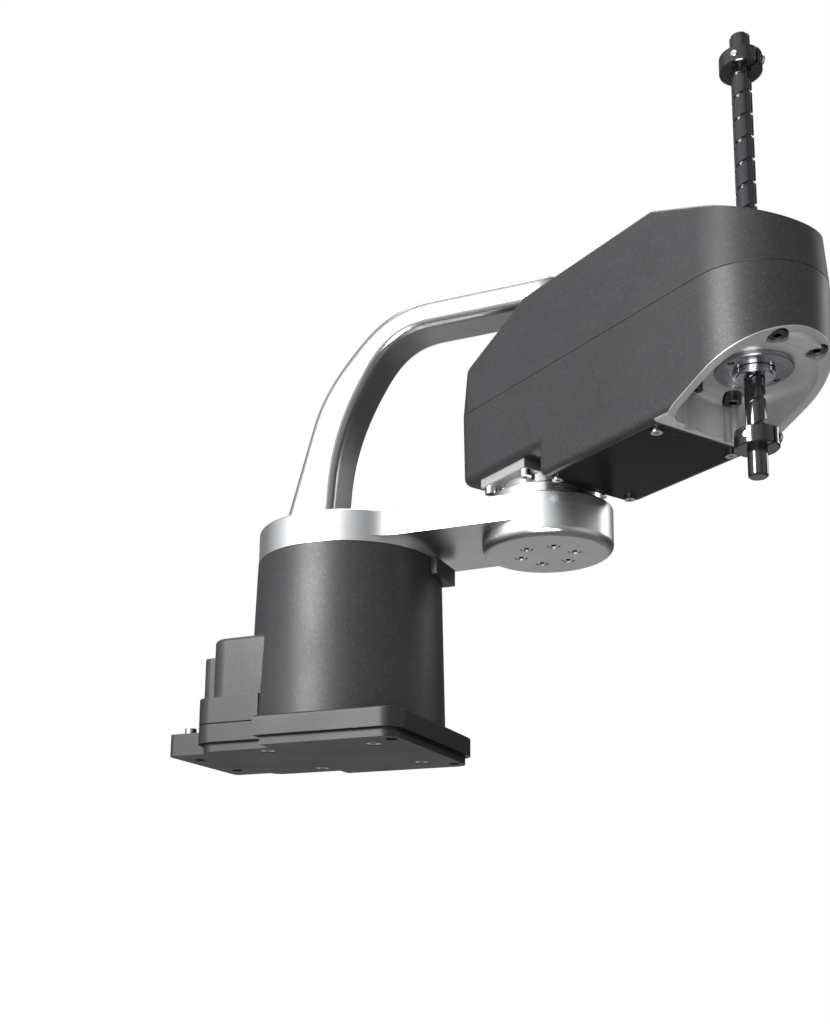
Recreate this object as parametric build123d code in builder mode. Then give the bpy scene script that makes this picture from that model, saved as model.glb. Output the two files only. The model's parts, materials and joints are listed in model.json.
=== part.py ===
from build123d import *
import os
from math import cos, radians, sin, tan

os.makedirs("parts", exist_ok=True)

# A small four-axis SCARA robot. The origin is the centre of the mounting face, on the
# first axis; X points to the front of the base and Z up. The inner arm carries the
# outer arm at the elbow axis, and the outer arm carries the spindle at its nose.

# Reach and rest pose
INNER_REACH = 100.0
OUTER_REACH = 125.0
REST_1 = 0.0
REST_2 = -33.0

# Clearances
JOINT_GAP = 0.4
ROUND_GAP = 0.3
RUNNING_FIT = 0.05
SCREW_CLEARANCE = 0.2

# Screws: thread radius, head radius, head height and key radius of each size
M5 = (2.5, 4.25, 5.0, 2.2)
M4 = (2.0, 3.5, 4.0, 1.7)
M3 = (1.5, 2.75, 3.0, 1.4)
M2 = (1.0, 1.9, 1.4, 0.8)
BUTTON = (1.25, 2.4, 1.4, 0.9)
KEY_SHARE = 0.55

# Mounting plate
PLATE_THICK = 13.0
PLATE_FOOT = 4.0
PLATE_INSET = 2.5
PLATE_FRONT = 47.0
PLATE_HALF = 47.0
PLATE_WAIST = -24.0
PLATE_CORNER = 9.0
SKIRT_TOP = 25.0
TAB_BACK = -79.0
TAB_HALF = 31.0
TAB_THICK = 10.5
TAB_CORNER = 3.0
FRONT_BOLT_X = 40.0
FRONT_BOLT_SPACING = 72.0
REAR_BOLT_X = -70.0
REAR_BOLT_SPACING = 34.0
BOLT_EASE = 0.25
BOLT_HOLE_R = M5[0] + BOLT_EASE
EARTH_Y = -26.0

# Base casting
BASE_TOP = 91.6
BASE_R = 44.2
BASE_DRAFT = 1.6
BASE_WALL = 4.0
DECK_THICK = 6.0
DECK_BORE_R = 31.0
HOUSING_BACK = -54.0
HOUSING_HALF = 38.5
HOUSING_TOP = 53.0
HOUSING_CORNER = 9.0
REAR_BACK = -61.5
REAR_HALF = 32.0
REAR_TOP = 45.5
REAR_CORNER = 5.0
EDGE_R = 2.0
CASTING_SCREWS = 38.0
CASTING_SCREW_COUNT = 4
CASTING_SCREW_TURN = 45.0
STOP_LONG = 23.0
STOP_SHIFT = 7.5
STOP_OUT = 2.8
STOP_TALL = 8.0

# Connector panel on the rear of the base
PANEL_HALF = 26.0
PANEL_Z = 27.0
PANEL_TALL = 16.0
PANEL_THICK = 2.0
PANEL_LIP = 1.5
SOCKET_Z = 35.0
SOCKET_OUT = 3.0
SOCKET_IN = 8.0
SOCKET_HOLLOW = 7.0
POWER_Y = -17.0
POWER_R = 6.0
NETWORK_Y = (-3.0, 8.5)
NETWORK_R = 4.6
IO_Y = 18.5
IO_WIDE = 7.0
IO_TALL = 12.0

# First joint
MOTOR_1_R = 22.0
MOTOR_1_LONG = 42.0
REDUCER_1_R = 30.0
REDUCER_1_FLANGE_R = 37.0
REDUCER_1_FLANGE = 6.0
REDUCER_1_LONG = 26.0
OUTPUT_1_R = 25.0
OUTPUT_1_THICK = 7.0
SEAL_R = 42.0
SEAL_WIDE = 2.4
SEAL_THICK = 1.3
SEAL_EASE = 0.1
SPIGOT_1_R = 12.0
SPIGOT_1_LONG = 6.0
CABLE_R = 5.0
CABLE_SHIFT = 20.0
HUB_SCREW_R = 20.0
HUB_SCREW_COUNT = 6
HUB_SCREW_TURN = 30.0

# Inner arm
HUB_R = 44.0
HUB_THICK = 15.0
ELBOW_R = 29.8
ELBOW_THICK = 20.0
ELBOW_FOOT_R = 26.2
ARM_RISE = 3.0
ARM_HALF_HUB = 32.0
ARM_BLEND = 18.0
ARM_EDGE = 0.8
ELBOW_SCREW_R = 12.7
ELBOW_SCREW_TURN = 0.0
ELBOW_SCREW_COUNT = 6
HEAD_SINK = 0.3

# Cable arch over the elbow
ARCH_WIDE = 24.0
ARCH_DEEP = 14.0
ARCH_WALL = 2.5
ARCH_OVER_ROOF = 21.3
ARCH_ROUND = 4.5
ARCH_FOOT_OUT = -33.0
ARCH_FOOT_IN = -6.0
ARCH_KNEE_OUT = (-17.5, 56.4)
ARCH_CROWN_OUT = (4.5, 20.4)
ARCH_LEVEL_OUT = 46.0
ARCH_KNEE_IN = (-4.2, 86.4)
ARCH_CROWN_IN = (14.0, 33.5)
ARCH_LEVEL_IN = 45.0
ARCH_FLANGE = 3.5
SWIVEL_R = 7.0
SWIVEL_WALL = 1.5
SWIVEL_DROP = 12.7
COLLAR_DROP = 17.7
FOOT_EAR = 7.0
FOOT_SCREW_Y = 7.5

# Second joint
RING_2_R = 25.6
RING_2_THICK = 6.0
SPIGOT_2_R = 12.0
REDUCER_2_R = 22.0
REDUCER_2_THICK = 5.1
BLOCK_BACK = -17.0
BLOCK_FRONT = 15.0
BLOCK_HALF = 25.0
BLOCK_THICK = 8.0
FLOOR_THICK = 5.5
BLOCK_EDGE = 0.4
BLOCK_SCREW_X = (-13.5, 12.0)
BLOCK_SCREW_Y = 21.9
MOTOR_2_R = 19.0
MOTOR_2_LONG = 36.0

# Outer arm casing
CASE_HALF = 29.2
CASE_BACK = -30.5
CASE_CORNER = 8.0
CASE_BOTTOM = 109.0
CASE_REAR_BOTTOM = 123.0
CASE_LOWER_TALL = 47.0
CASE_UPPER_TALL = 42.7
CASE_WALL = 3.0
LOWER_DRAFT = 1.3
UPPER_DRAFT = 4.5
BOTTOM_ROUND = 3.0
ROOF_ROUND = 1.2
PARTING_GROOVE = 0.45
NOTCH_X = 27.0
NOTCH_ROUND = 5.0
REAR_ROOF_X = 16.4
REAR_ROOF_SLOPE = 24.8
FRONT_ROOF_IN = 26.5
FRONT_ROOF_SLOPE = 24.2
NOSE_CUT_IN = 20.0
NOSE_CUT_SLOPE = 24.8
SHAFT_HOLE_R = 5.5
GROMMET_R = 11.0
GROMMET_RISE = 0.8

# Recess under the nose
RECESS_IN = 22.0
RECESS_LIP = 4.6
RECESS_SHARE = 0.404
RECESS_WEB = 8.0
RECESS_ROUND = 5.0
RECESS_CORNER = 7.0
PAD_INSET = 1.4
NOSE_SCREW_R = 23.6
NOSE_SCREW_TURN = 27.0
NOSE_SEAT = 5.0
POCKET_EASE = 0.7

# Underside plate
COVER_BACK = 28.5
COVER_SHORT = 28.0
COVER_HALF = 24.2
COVER_THICK = 2.0
COVER_CORNER = 4.0
COVER_LEDGE = 5.0
COVER_SCREW_IN = 4.0
COVER_SCREW_Y = 20.6

# Spindle: a ball screw and a spline on one shaft
SHAFT_R = 4.0
SHAFT_BOTTOM = 83.5
SHAFT_LONG = 187.5
SCREW_LEAD = 10.0
SCREW_GROOVE_R = 0.75
TOOL_END_R = 3.8
TOOL_END_LONG = 11.0
SHAFT_EDGE = 0.6
SCREW_START = 1.0
SCREW_TURNS = 16
TURN_OVERLAP = 1.02
SPLINE_GROOVE_R = 0.9
SPLINE_GROOVES = 3
COLLAR_R = 8.5
COLLAR_TALL = 7.0
COLLAR_LOW = 94.7
COLLAR_HIGH = 254.7
COLLAR_SLIT = 1.0
COLLAR_SCREW_OUT = 6.0
COLLAR_SEAT = 3.6

# Nuts, bearings and drive of the spindle
PLATE_4_R = 15.0
PLATE_4_THICK = 2.0
PLATE_4_HOLE_R = 1.25
PLATE_4_HOLE_AT = 12.5
RING_NUT_R = 8.0
RING_NUT_TALL = 1.6
SPLINE_NUT_R = 7.0
SPLINE_KEY_R = 0.75
SPLINE_LIP = 0.9
BEARING_R = 13.5
BEARING_TALL = 6.0
BEARING_DROP = 4.0
PULLEY_TALL = 7.0
PULLEY_FLANGE = 0.7
NUT_PULLEY_R = 12.0
MOTOR_PULLEY_R = 8.0
SCREW_NUT_R = 9.0
NUT_SPACE = 1.5
FRAME_R = 19.0
FRAME_FOOT_R = 25.2
FRAME_FOOT = 3.0
BELT_THICK = 1.2
BELT_TALL = 5.0
BELT_EASE = 0.3
BELT_WINDOW = 14.0
MOTOR_SPACE = 3.0
MOTOR_FRONT_SPACE = 2.5
MOTOR_BACK_SPACE = 4.5
MOTOR_UNDER = 3.0
MOTOR_CORNER = 2.0
MOTOR_SHAFT_R = 2.5
MOTOR_PILOT_SHARE = 0.62
MOTOR_PILOT = 1.5
MOTOR_BOLT_SHARE = 1.586
MOTOR_BOLT_DEEP = 5.0
MOTOR_SHAFT_IN = 10.0
BED_OVERHANG = 2.5
BED_DROP = 6.0
BED_THICK = 3.0
BED_SCREW_IN = 5.0
PIT_EDGE = 1.0
LEDGE_LONG = 9.0
LEDGE_TALL = 10.0
BOARD_RISE = 26.0
BOARD_THICK = 1.6
BOARD_PAST = 10.0
BOARD_HALF = 19.0
STANDOFF_R = 2.2
STANDOFF_PAST = 6.0
STANDOFF_Y = 16.5
POST_R = 3.2
POST_REAR_X = 24.0
POST_FRONT_IN = 21.5
POST_Y = 19.3
POST_DROP = 10.7

# Places and heights that follow from the ones above
HUB_Z = BASE_TOP + JOINT_GAP
ARM_TOP = HUB_Z + HUB_THICK
ELBOW_Z = ARM_TOP - ELBOW_THICK
RING_2_TOP = ARM_TOP + RING_2_THICK
REDUCER_2_Z = RING_2_TOP + JOINT_GAP
BLOCK_Z = REDUCER_2_Z + REDUCER_2_THICK
BLOCK_TOP = BLOCK_Z + BLOCK_THICK
FLOOR_TOP = BLOCK_TOP + FLOOR_THICK
CASE_PARTING = CASE_BOTTOM + CASE_LOWER_TALL
CASE_ROOF = CASE_PARTING + CASE_UPPER_TALL
ARCH_TOP = CASE_ROOF + ARCH_OVER_ROOF
SWIVEL_BOTTOM = CASE_ROOF - SWIVEL_DROP
COLLAR_BASE = CASE_ROOF - COLLAR_DROP
GROMMET_TOP = CASE_ROOF + GROMMET_RISE
POST_TOP = CASE_ROOF - POST_DROP
RECESS_TOP = CASE_BOTTOM + RECESS_SHARE * CASE_LOWER_TALL
PAD_TOP = RECESS_TOP + RECESS_WEB
RING_NUT_Z = RECESS_TOP - PLATE_4_THICK - ROUND_GAP - RING_NUT_TALL
BEARING_TOP = CASE_PARTING - BEARING_DROP
BEARING_2_Z = BEARING_TOP - BEARING_TALL
PULLEY_4_Z = BEARING_TOP + NUT_SPACE
SPLINE_NUT_TOP = PULLEY_4_Z + PULLEY_TALL
SCREW_NUT_Z = SPLINE_NUT_TOP + NUT_SPACE
PULLEY_3_Z = SCREW_NUT_Z + BEARING_TALL + NUT_SPACE
SCREW_NUT_TOP = PULLEY_3_Z + PULLEY_TALL
BASE_FOOT_R = BASE_R + (BASE_TOP - PLATE_THICK) * tan(radians(BASE_DRAFT))
RECESS_BACK = OUTER_REACH - RECESS_IN
NOSE_CUT_X = OUTER_REACH - NOSE_CUT_IN
FRONT_ROOF_X = OUTER_REACH - FRONT_ROOF_IN
COVER_FRONT = OUTER_REACH - COVER_SHORT
COVER_SCREW_X = (COVER_BACK + COVER_SCREW_IN, COVER_FRONT - COVER_SCREW_IN)
PIT_BACK = NOTCH_X + CASE_WALL + PIT_EDGE
PIT_FRONT = RECESS_BACK - CASE_WALL - PIT_EDGE
MOTOR_ROOM = PIT_FRONT - PIT_BACK - MOTOR_BACK_SPACE - MOTOR_SPACE - MOTOR_FRONT_SPACE
MOTOR_HALF = MOTOR_ROOM / 4
MOTOR_3_X = PIT_BACK + MOTOR_BACK_SPACE + MOTOR_HALF
MOTOR_4_X = PIT_FRONT - MOTOR_FRONT_SPACE - MOTOR_HALF
MOTOR_PILOT_R = MOTOR_PILOT_SHARE * MOTOR_HALF
MOTOR_BOLTS = MOTOR_BOLT_SHARE * MOTOR_HALF
BED_Z = CASE_PARTING - BED_DROP
MOTOR_LONG = BED_Z - CASE_BOTTOM - COVER_THICK - MOTOR_UNDER
BED_BACK = MOTOR_3_X - MOTOR_HALF - BED_OVERHANG
BED_FRONT = MOTOR_4_X + MOTOR_HALF + BED_OVERHANG
BED_SCREW_X = (BED_BACK + BED_SCREW_IN, BED_FRONT - BED_SCREW_IN)
BED_SCREW_Y = (MOTOR_HALF + CASE_HALF - CASE_WALL) / 2
BED_HALF = BED_SCREW_Y + M3[1]
BOARD_Z = CASE_PARTING + BOARD_RISE
BOARD_BACK = MOTOR_3_X - BOARD_PAST
BOARD_FRONT = MOTOR_4_X + BOARD_PAST
STANDOFF_X = (MOTOR_3_X - STANDOFF_PAST, MOTOR_4_X + STANDOFF_PAST)
POST_X = (POST_REAR_X, OUTER_REACH - POST_FRONT_IN)
GROOVE_FOOT = SHAFT_BOTTOM + TOOL_END_LONG

# Planes of the two arms: X runs along each arm from its own axis
inner = Plane(
    origin=(0, 0, 0), x_dir=(cos(radians(REST_1)), sin(radians(REST_1)), 0), z_dir=(0, 0, 1)
)
heading = radians(REST_1 + REST_2)
outer = Plane(
    origin=inner.from_local_coords(Vector(INNER_REACH, 0, 0)),
    x_dir=(cos(heading), sin(heading), 0),
    z_dir=(0, 0, 1),
)


def side(arm):
    """The upright plane through an arm's axis line: X along the arm, Y up."""
    return Plane(origin=arm.origin, x_dir=arm.x_dir, z_dir=-arm.y_dir)


def spot(arm, x, y, height):
    """A level plane at a point of an arm."""
    return Plane(
        origin=arm.from_local_coords(Vector(x, y, height)), x_dir=arm.x_dir, z_dir=(0, 0, 1)
    )


def circle_places(radius, count, first):
    """The places of screws spread evenly on a circle, from a first turn in degrees."""
    turns = [radians(first + 360 * index / count) for index in range(count)]
    return [(radius * cos(turn), radius * sin(turn)) for turn in turns]


def cap_screws(plane, places, size, shank, up=1):
    """Socket head screws on a plane: heads up the plane's Z, shanks down it, or turned over."""
    thread, head, tall, key = size
    with BuildPart() as screws:
        with BuildSketch(plane):
            with Locations(*places):
                Circle(head)
        extrude(amount=up * tall)
        with BuildSketch(plane):
            with Locations(*places):
                Circle(thread)
        extrude(amount=-up * shank)
        with BuildSketch(plane.offset(up * tall)):
            with Locations(*places):
                RegularPolygon(key, 6)
        extrude(amount=-up * tall * KEY_SHARE, mode=Mode.SUBTRACT)
    return screws


casting_places = circle_places(CASTING_SCREWS, CASTING_SCREW_COUNT, CASTING_SCREW_TURN)
hub_places = circle_places(HUB_SCREW_R, HUB_SCREW_COUNT, HUB_SCREW_TURN)
elbow_places = circle_places(ELBOW_SCREW_R, ELBOW_SCREW_COUNT, ELBOW_SCREW_TURN)

# Mounting plate: a slab with a stepped foot, a taller skirt under the rear housing
# and a tab behind it
with BuildPart() as base_plate:
    with BuildSketch(Plane.XY.offset(PLATE_FOOT)) as plate_plan:
        with Locations(((PLATE_FRONT + PLATE_WAIST) / 2, 0)):
            Rectangle(PLATE_FRONT - PLATE_WAIST, 2 * PLATE_HALF)
        with Locations(((REAR_BACK + PLATE_FRONT) / 2, 0)):
            Rectangle(PLATE_FRONT - REAR_BACK, 2 * HOUSING_HALF)
        fillet(plate_plan.vertices().group_by(Axis.X)[0], HOUSING_CORNER)
        fillet(plate_plan.vertices().group_by(Axis.X)[-1], PLATE_CORNER)
    extrude(amount=PLATE_THICK - PLATE_FOOT)
    fillet(base_plate.edges().group_by(Axis.Z)[-1], EDGE_R / 2)
    with BuildSketch(Plane.XY):
        add(plate_plan.sketch.moved(Location((0, 0, -PLATE_FOOT))))
        offset(amount=-PLATE_INSET, kind=Kind.INTERSECTION)
    extrude(amount=PLATE_FOOT)
    with BuildSketch(Plane.XY):
        with Locations(((TAB_BACK + HOUSING_BACK) / 2, 0)):
            RectangleRounded(HOUSING_BACK - TAB_BACK, 2 * TAB_HALF, TAB_CORNER)
    extrude(amount=TAB_THICK)
    with BuildSketch(Plane.XY.offset(PLATE_THICK)) as skirt:
        with Locations(((REAR_BACK + PLATE_WAIST) / 2, 0)):
            Rectangle(PLATE_WAIST - REAR_BACK, 2 * HOUSING_HALF)
        fillet(skirt.vertices().group_by(Axis.X)[0], HOUSING_CORNER)
        Circle(BASE_FOOT_R + ROUND_GAP, mode=Mode.SUBTRACT)
    extrude(amount=SKIRT_TOP - PLATE_THICK)
    with BuildSketch(Plane.XY.offset(PLATE_THICK)):
        with Locations(((REAR_BACK + BASE_WALL + HOUSING_BACK + 2 * BASE_WALL) / 2, 0)):
            Rectangle(HOUSING_BACK - REAR_BACK + BASE_WALL, 2 * (REAR_HALF - BASE_WALL))
    extrude(amount=SKIRT_TOP - PLATE_THICK, mode=Mode.SUBTRACT)
    with Locations(
        (FRONT_BOLT_X, FRONT_BOLT_SPACING / 2, PLATE_THICK),
        (FRONT_BOLT_X, -FRONT_BOLT_SPACING / 2, PLATE_THICK),
        (REAR_BOLT_X, REAR_BOLT_SPACING / 2, TAB_THICK),
        (REAR_BOLT_X, -REAR_BOLT_SPACING / 2, TAB_THICK),
    ):
        Hole(BOLT_HOLE_R)
    with Locations((REAR_BOLT_X, EARTH_Y, TAB_THICK)):
        Hole(M3[0], depth=TAB_THICK - M3[2])
    with BuildSketch(Plane.XY):
        with Locations(*casting_places):
            Circle(M4[1] + SCREW_CLEARANCE)
    extrude(amount=M4[2] + SCREW_CLEARANCE, mode=Mode.SUBTRACT)
    with BuildSketch(Plane.XY):
        with Locations(*casting_places):
            Circle(M4[0] + SCREW_CLEARANCE)
    extrude(amount=PLATE_THICK, mode=Mode.SUBTRACT)
base_plate.part.label = "base_plate"
export_step(base_plate.part, "parts/base_plate.step")

# Plane of the rear panel, seen from behind: its X runs along -Y
panel_plane = Plane(
    origin=(REAR_BACK, 0, PANEL_Z + PANEL_TALL / 2), x_dir=(0, -1, 0), z_dir=(-1, 0, 0)
)
socket_rise = SOCKET_Z - PANEL_Z - PANEL_TALL / 2
network_places = [(-y, socket_rise) for y in NETWORK_Y]
power_place = (-POWER_Y, socket_rise)
io_place = (-IO_Y, socket_rise)

# Base casting: a drafted drum with a deck for the reducer, and the rear housing
with BuildPart() as base_casting:
    with BuildSketch(Plane.XY.offset(BASE_TOP)):
        Circle(BASE_R)
    extrude(amount=PLATE_THICK - BASE_TOP, taper=-BASE_DRAFT)
    with BuildSketch(Plane.XY.offset(SKIRT_TOP)) as housing:
        with Locations((HOUSING_BACK / 2, 0)):
            Rectangle(-HOUSING_BACK, 2 * HOUSING_HALF)
        fillet(housing.vertices().group_by(Axis.X)[0], HOUSING_CORNER)
    extrude(amount=HOUSING_TOP - SKIRT_TOP)
    with BuildSketch(Plane.XY.offset(SKIRT_TOP)) as rear:
        with Locations(((REAR_BACK + PLATE_WAIST) / 2, 0)):
            Rectangle(PLATE_WAIST - REAR_BACK, 2 * REAR_HALF)
        fillet(rear.vertices().group_by(Axis.X)[0], REAR_CORNER)
    extrude(amount=REAR_TOP - SKIRT_TOP)
    fillet(base_casting.faces().filter_by(Plane.XY).sort_by(Axis.Z)[-2].edges(), EDGE_R)
    with BuildSketch(Plane.XY.offset(BASE_TOP - DECK_THICK)):
        Circle(BASE_R - BASE_WALL)
    extrude(amount=PLATE_THICK + DECK_THICK - BASE_TOP, taper=-BASE_DRAFT, mode=Mode.SUBTRACT)
    with BuildSketch(Plane.XY.offset(SKIRT_TOP)):
        with Locations((HOUSING_BACK / 2 + BASE_WALL / 2, 0)):
            Rectangle(-HOUSING_BACK - BASE_WALL, 2 * (HOUSING_HALF - BASE_WALL))
    extrude(amount=HOUSING_TOP - BASE_WALL - SKIRT_TOP, mode=Mode.SUBTRACT)
    with BuildSketch(Plane.XY.offset(SKIRT_TOP)):
        with Locations(((REAR_BACK + BASE_WALL + PLATE_WAIST) / 2, 0)):
            Rectangle(PLATE_WAIST - REAR_BACK - BASE_WALL, 2 * (REAR_HALF - BASE_WALL))
    extrude(amount=REAR_TOP - BASE_WALL - SKIRT_TOP, mode=Mode.SUBTRACT)
    with BuildSketch(panel_plane):
        Rectangle(2 * (PANEL_HALF - PANEL_LIP), PANEL_TALL - 2 * PANEL_LIP)
    extrude(amount=-BASE_WALL, mode=Mode.SUBTRACT)
    with BuildSketch(panel_plane):
        Rectangle(2 * PANEL_HALF, PANEL_TALL)
    extrude(amount=-PANEL_THICK, mode=Mode.SUBTRACT)
    with BuildSketch(Plane.XY.offset(BASE_TOP)):
        Circle(DECK_BORE_R)
    extrude(amount=-DECK_THICK, mode=Mode.SUBTRACT)
    with BuildSketch(Plane.XY.offset(BASE_TOP)):
        Circle(SEAL_R)
        Circle(SEAL_R - SEAL_WIDE, mode=Mode.SUBTRACT)
    extrude(amount=JOINT_GAP - SEAL_THICK, mode=Mode.SUBTRACT)
    with BuildSketch(Plane.XY.offset(BASE_TOP)):
        with Locations((BASE_R + (STOP_OUT - BASE_WALL) / 2, STOP_SHIFT)):
            Rectangle(STOP_OUT + BASE_WALL, STOP_LONG)
        Circle(BASE_R - BASE_WALL / 2, mode=Mode.SUBTRACT)
    extrude(amount=-STOP_TALL)
    with BuildSketch(Plane.XY.offset(PLATE_THICK)):
        with Locations(*casting_places):
            Circle(M4[1] + EDGE_R)
    extrude(amount=SKIRT_TOP - PLATE_THICK)
    with BuildSketch(Plane.XY.offset(PLATE_THICK)):
        with Locations(*casting_places):
            Circle(M4[0])
    extrude(amount=SKIRT_TOP - PLATE_THICK, mode=Mode.SUBTRACT)
base_casting.part.label = "base_casting"
export_step(base_casting.part, "parts/base_casting.step")

# Screws that hold the casting from under the mounting plate
screw_plane = Plane.XY.offset(M4[2] + SCREW_CLEARANCE)
with BuildPart() as base_plate_screws:
    add(cap_screws(screw_plane, casting_places, M4, PLATE_THICK, -1))
base_plate_screws.part.label = "base_plate_screws"
export_step(base_plate_screws.part, "parts/base_plate_screws.step")

with BuildPart() as earth_screw:
    earth_plane = Plane.XY.offset(TAB_THICK)
    add(cap_screws(earth_plane, [(REAR_BOLT_X, EARTH_Y)], M3, TAB_THICK / 2))
earth_screw.part.label = "earth_screw"
export_step(earth_screw.part, "parts/earth_screw.step")

# Rear panel and its sockets
with BuildPart() as rear_panel:
    with BuildSketch(panel_plane):
        Rectangle(2 * PANEL_HALF, PANEL_TALL)
        with Locations(power_place):
            Circle(POWER_R, mode=Mode.SUBTRACT)
        with Locations(*network_places):
            Circle(NETWORK_R, mode=Mode.SUBTRACT)
        with Locations(io_place):
            Rectangle(IO_WIDE, IO_TALL, mode=Mode.SUBTRACT)
    extrude(amount=-PANEL_THICK)
rear_panel.part.label = "rear_panel"
export_step(rear_panel.part, "parts/rear_panel.step")

with BuildPart() as power_socket:
    with BuildSketch(panel_plane.offset(SOCKET_OUT)):
        with Locations(power_place):
            Circle(POWER_R)
    extrude(amount=-SOCKET_OUT - SOCKET_IN)
    with BuildSketch(panel_plane.offset(SOCKET_OUT)):
        with Locations(power_place):
            Circle(POWER_R - PANEL_LIP)
            Circle(POWER_R / 2, mode=Mode.SUBTRACT)
    extrude(amount=-SOCKET_HOLLOW, mode=Mode.SUBTRACT)
power_socket.part.label = "power_socket"
export_step(power_socket.part, "parts/power_socket.step")

with BuildPart() as network_sockets:
    with BuildSketch(panel_plane.offset(SOCKET_OUT)):
        with Locations(*network_places):
            Circle(NETWORK_R)
    extrude(amount=-SOCKET_OUT - SOCKET_IN)
    with BuildSketch(panel_plane.offset(SOCKET_OUT)):
        with Locations(*network_places):
            Circle(NETWORK_R - PANEL_LIP)
            Circle(NETWORK_R / 3, mode=Mode.SUBTRACT)
    extrude(amount=-SOCKET_HOLLOW, mode=Mode.SUBTRACT)
network_sockets.part.label = "network_sockets"
export_step(network_sockets.part, "parts/network_sockets.step")

with BuildPart() as io_socket:
    with BuildSketch(panel_plane.offset(SOCKET_OUT)):
        with Locations(io_place):
            Rectangle(IO_WIDE, IO_TALL)
    extrude(amount=-SOCKET_OUT - SOCKET_IN)
    with BuildSketch(panel_plane.offset(SOCKET_OUT)):
        with Locations(io_place):
            Rectangle(IO_WIDE - 2 * PANEL_LIP, IO_TALL - 2 * PANEL_LIP)
            Rectangle(PANEL_LIP, IO_TALL / 2, mode=Mode.SUBTRACT)
    extrude(amount=-SOCKET_HOLLOW, mode=Mode.SUBTRACT)
io_socket.part.label = "io_socket"
export_step(io_socket.part, "parts/io_socket.step")

# Drive of the first joint, hung in the deck: reducer, motor and the seal under the hub
DECK_UNDER = BASE_TOP - DECK_THICK
with BuildPart() as j1_reducer:
    with BuildSketch(Plane.XY.offset(DECK_UNDER)):
        Circle(REDUCER_1_FLANGE_R)
    extrude(amount=-REDUCER_1_FLANGE)
    with BuildSketch(Plane.XY.offset(BASE_TOP)):
        Circle(REDUCER_1_R)
    extrude(amount=-DECK_THICK - REDUCER_1_LONG)
    with BuildSketch(Plane.XY.offset(BASE_TOP)):
        Circle(OUTPUT_1_R + ROUND_GAP)
    extrude(amount=-OUTPUT_1_THICK, mode=Mode.SUBTRACT)
    with BuildSketch(Plane.XY.offset(BASE_TOP)):
        Circle(SPIGOT_1_R + RUNNING_FIT)
    extrude(amount=-DECK_THICK - REDUCER_1_LONG, mode=Mode.SUBTRACT)
j1_reducer.part.label = "j1_reducer"
export_step(j1_reducer.part, "parts/j1_reducer.step")

with BuildPart() as j1_motor:
    with BuildSketch(Plane.XY.offset(DECK_UNDER - REDUCER_1_LONG)):
        Circle(MOTOR_1_R)
    extrude(amount=-MOTOR_1_LONG)
    fillet(j1_motor.edges().group_by(Axis.Z)[0], EDGE_R)
    with BuildSketch(Plane.XY.offset(DECK_UNDER - REDUCER_1_LONG)):
        Circle(CABLE_R)
    extrude(amount=-MOTOR_1_LONG, mode=Mode.SUBTRACT)
j1_motor.part.label = "j1_motor"
export_step(j1_motor.part, "parts/j1_motor.step")

with BuildPart() as j1_seal_ring:
    with BuildSketch(Plane.XY.offset(BASE_TOP + JOINT_GAP - SEAL_THICK)):
        Circle(SEAL_R)
        Circle(SEAL_R - SEAL_WIDE, mode=Mode.SUBTRACT)
    extrude(amount=SEAL_THICK - SEAL_EASE)
j1_seal_ring.part.label = "j1_seal_ring"
export_step(j1_seal_ring.part, "parts/j1_seal_ring.step")

# Output flange of the first joint, bolted under the hub, with its spigot in the reducer
with BuildPart() as j1_output_flange:
    with BuildSketch(inner.offset(HUB_Z)):
        Circle(OUTPUT_1_R)
    extrude(amount=-OUTPUT_1_THICK)
    with BuildSketch(inner.offset(HUB_Z - OUTPUT_1_THICK)):
        Circle(SPIGOT_1_R)
    extrude(amount=-SPIGOT_1_LONG)
    with BuildSketch(inner.offset(HUB_Z)):
        Circle(CABLE_R)
    extrude(amount=-OUTPUT_1_THICK - SPIGOT_1_LONG, mode=Mode.SUBTRACT)
    with BuildSketch(inner.offset(HUB_Z)):
        with Locations(*hub_places):
            Circle(M3[0])
    extrude(amount=-OUTPUT_1_THICK, mode=Mode.SUBTRACT)
j1_output_flange.part.label = "j1_output_flange"
export_step(j1_output_flange.part, "parts/j1_output_flange.step")

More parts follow.
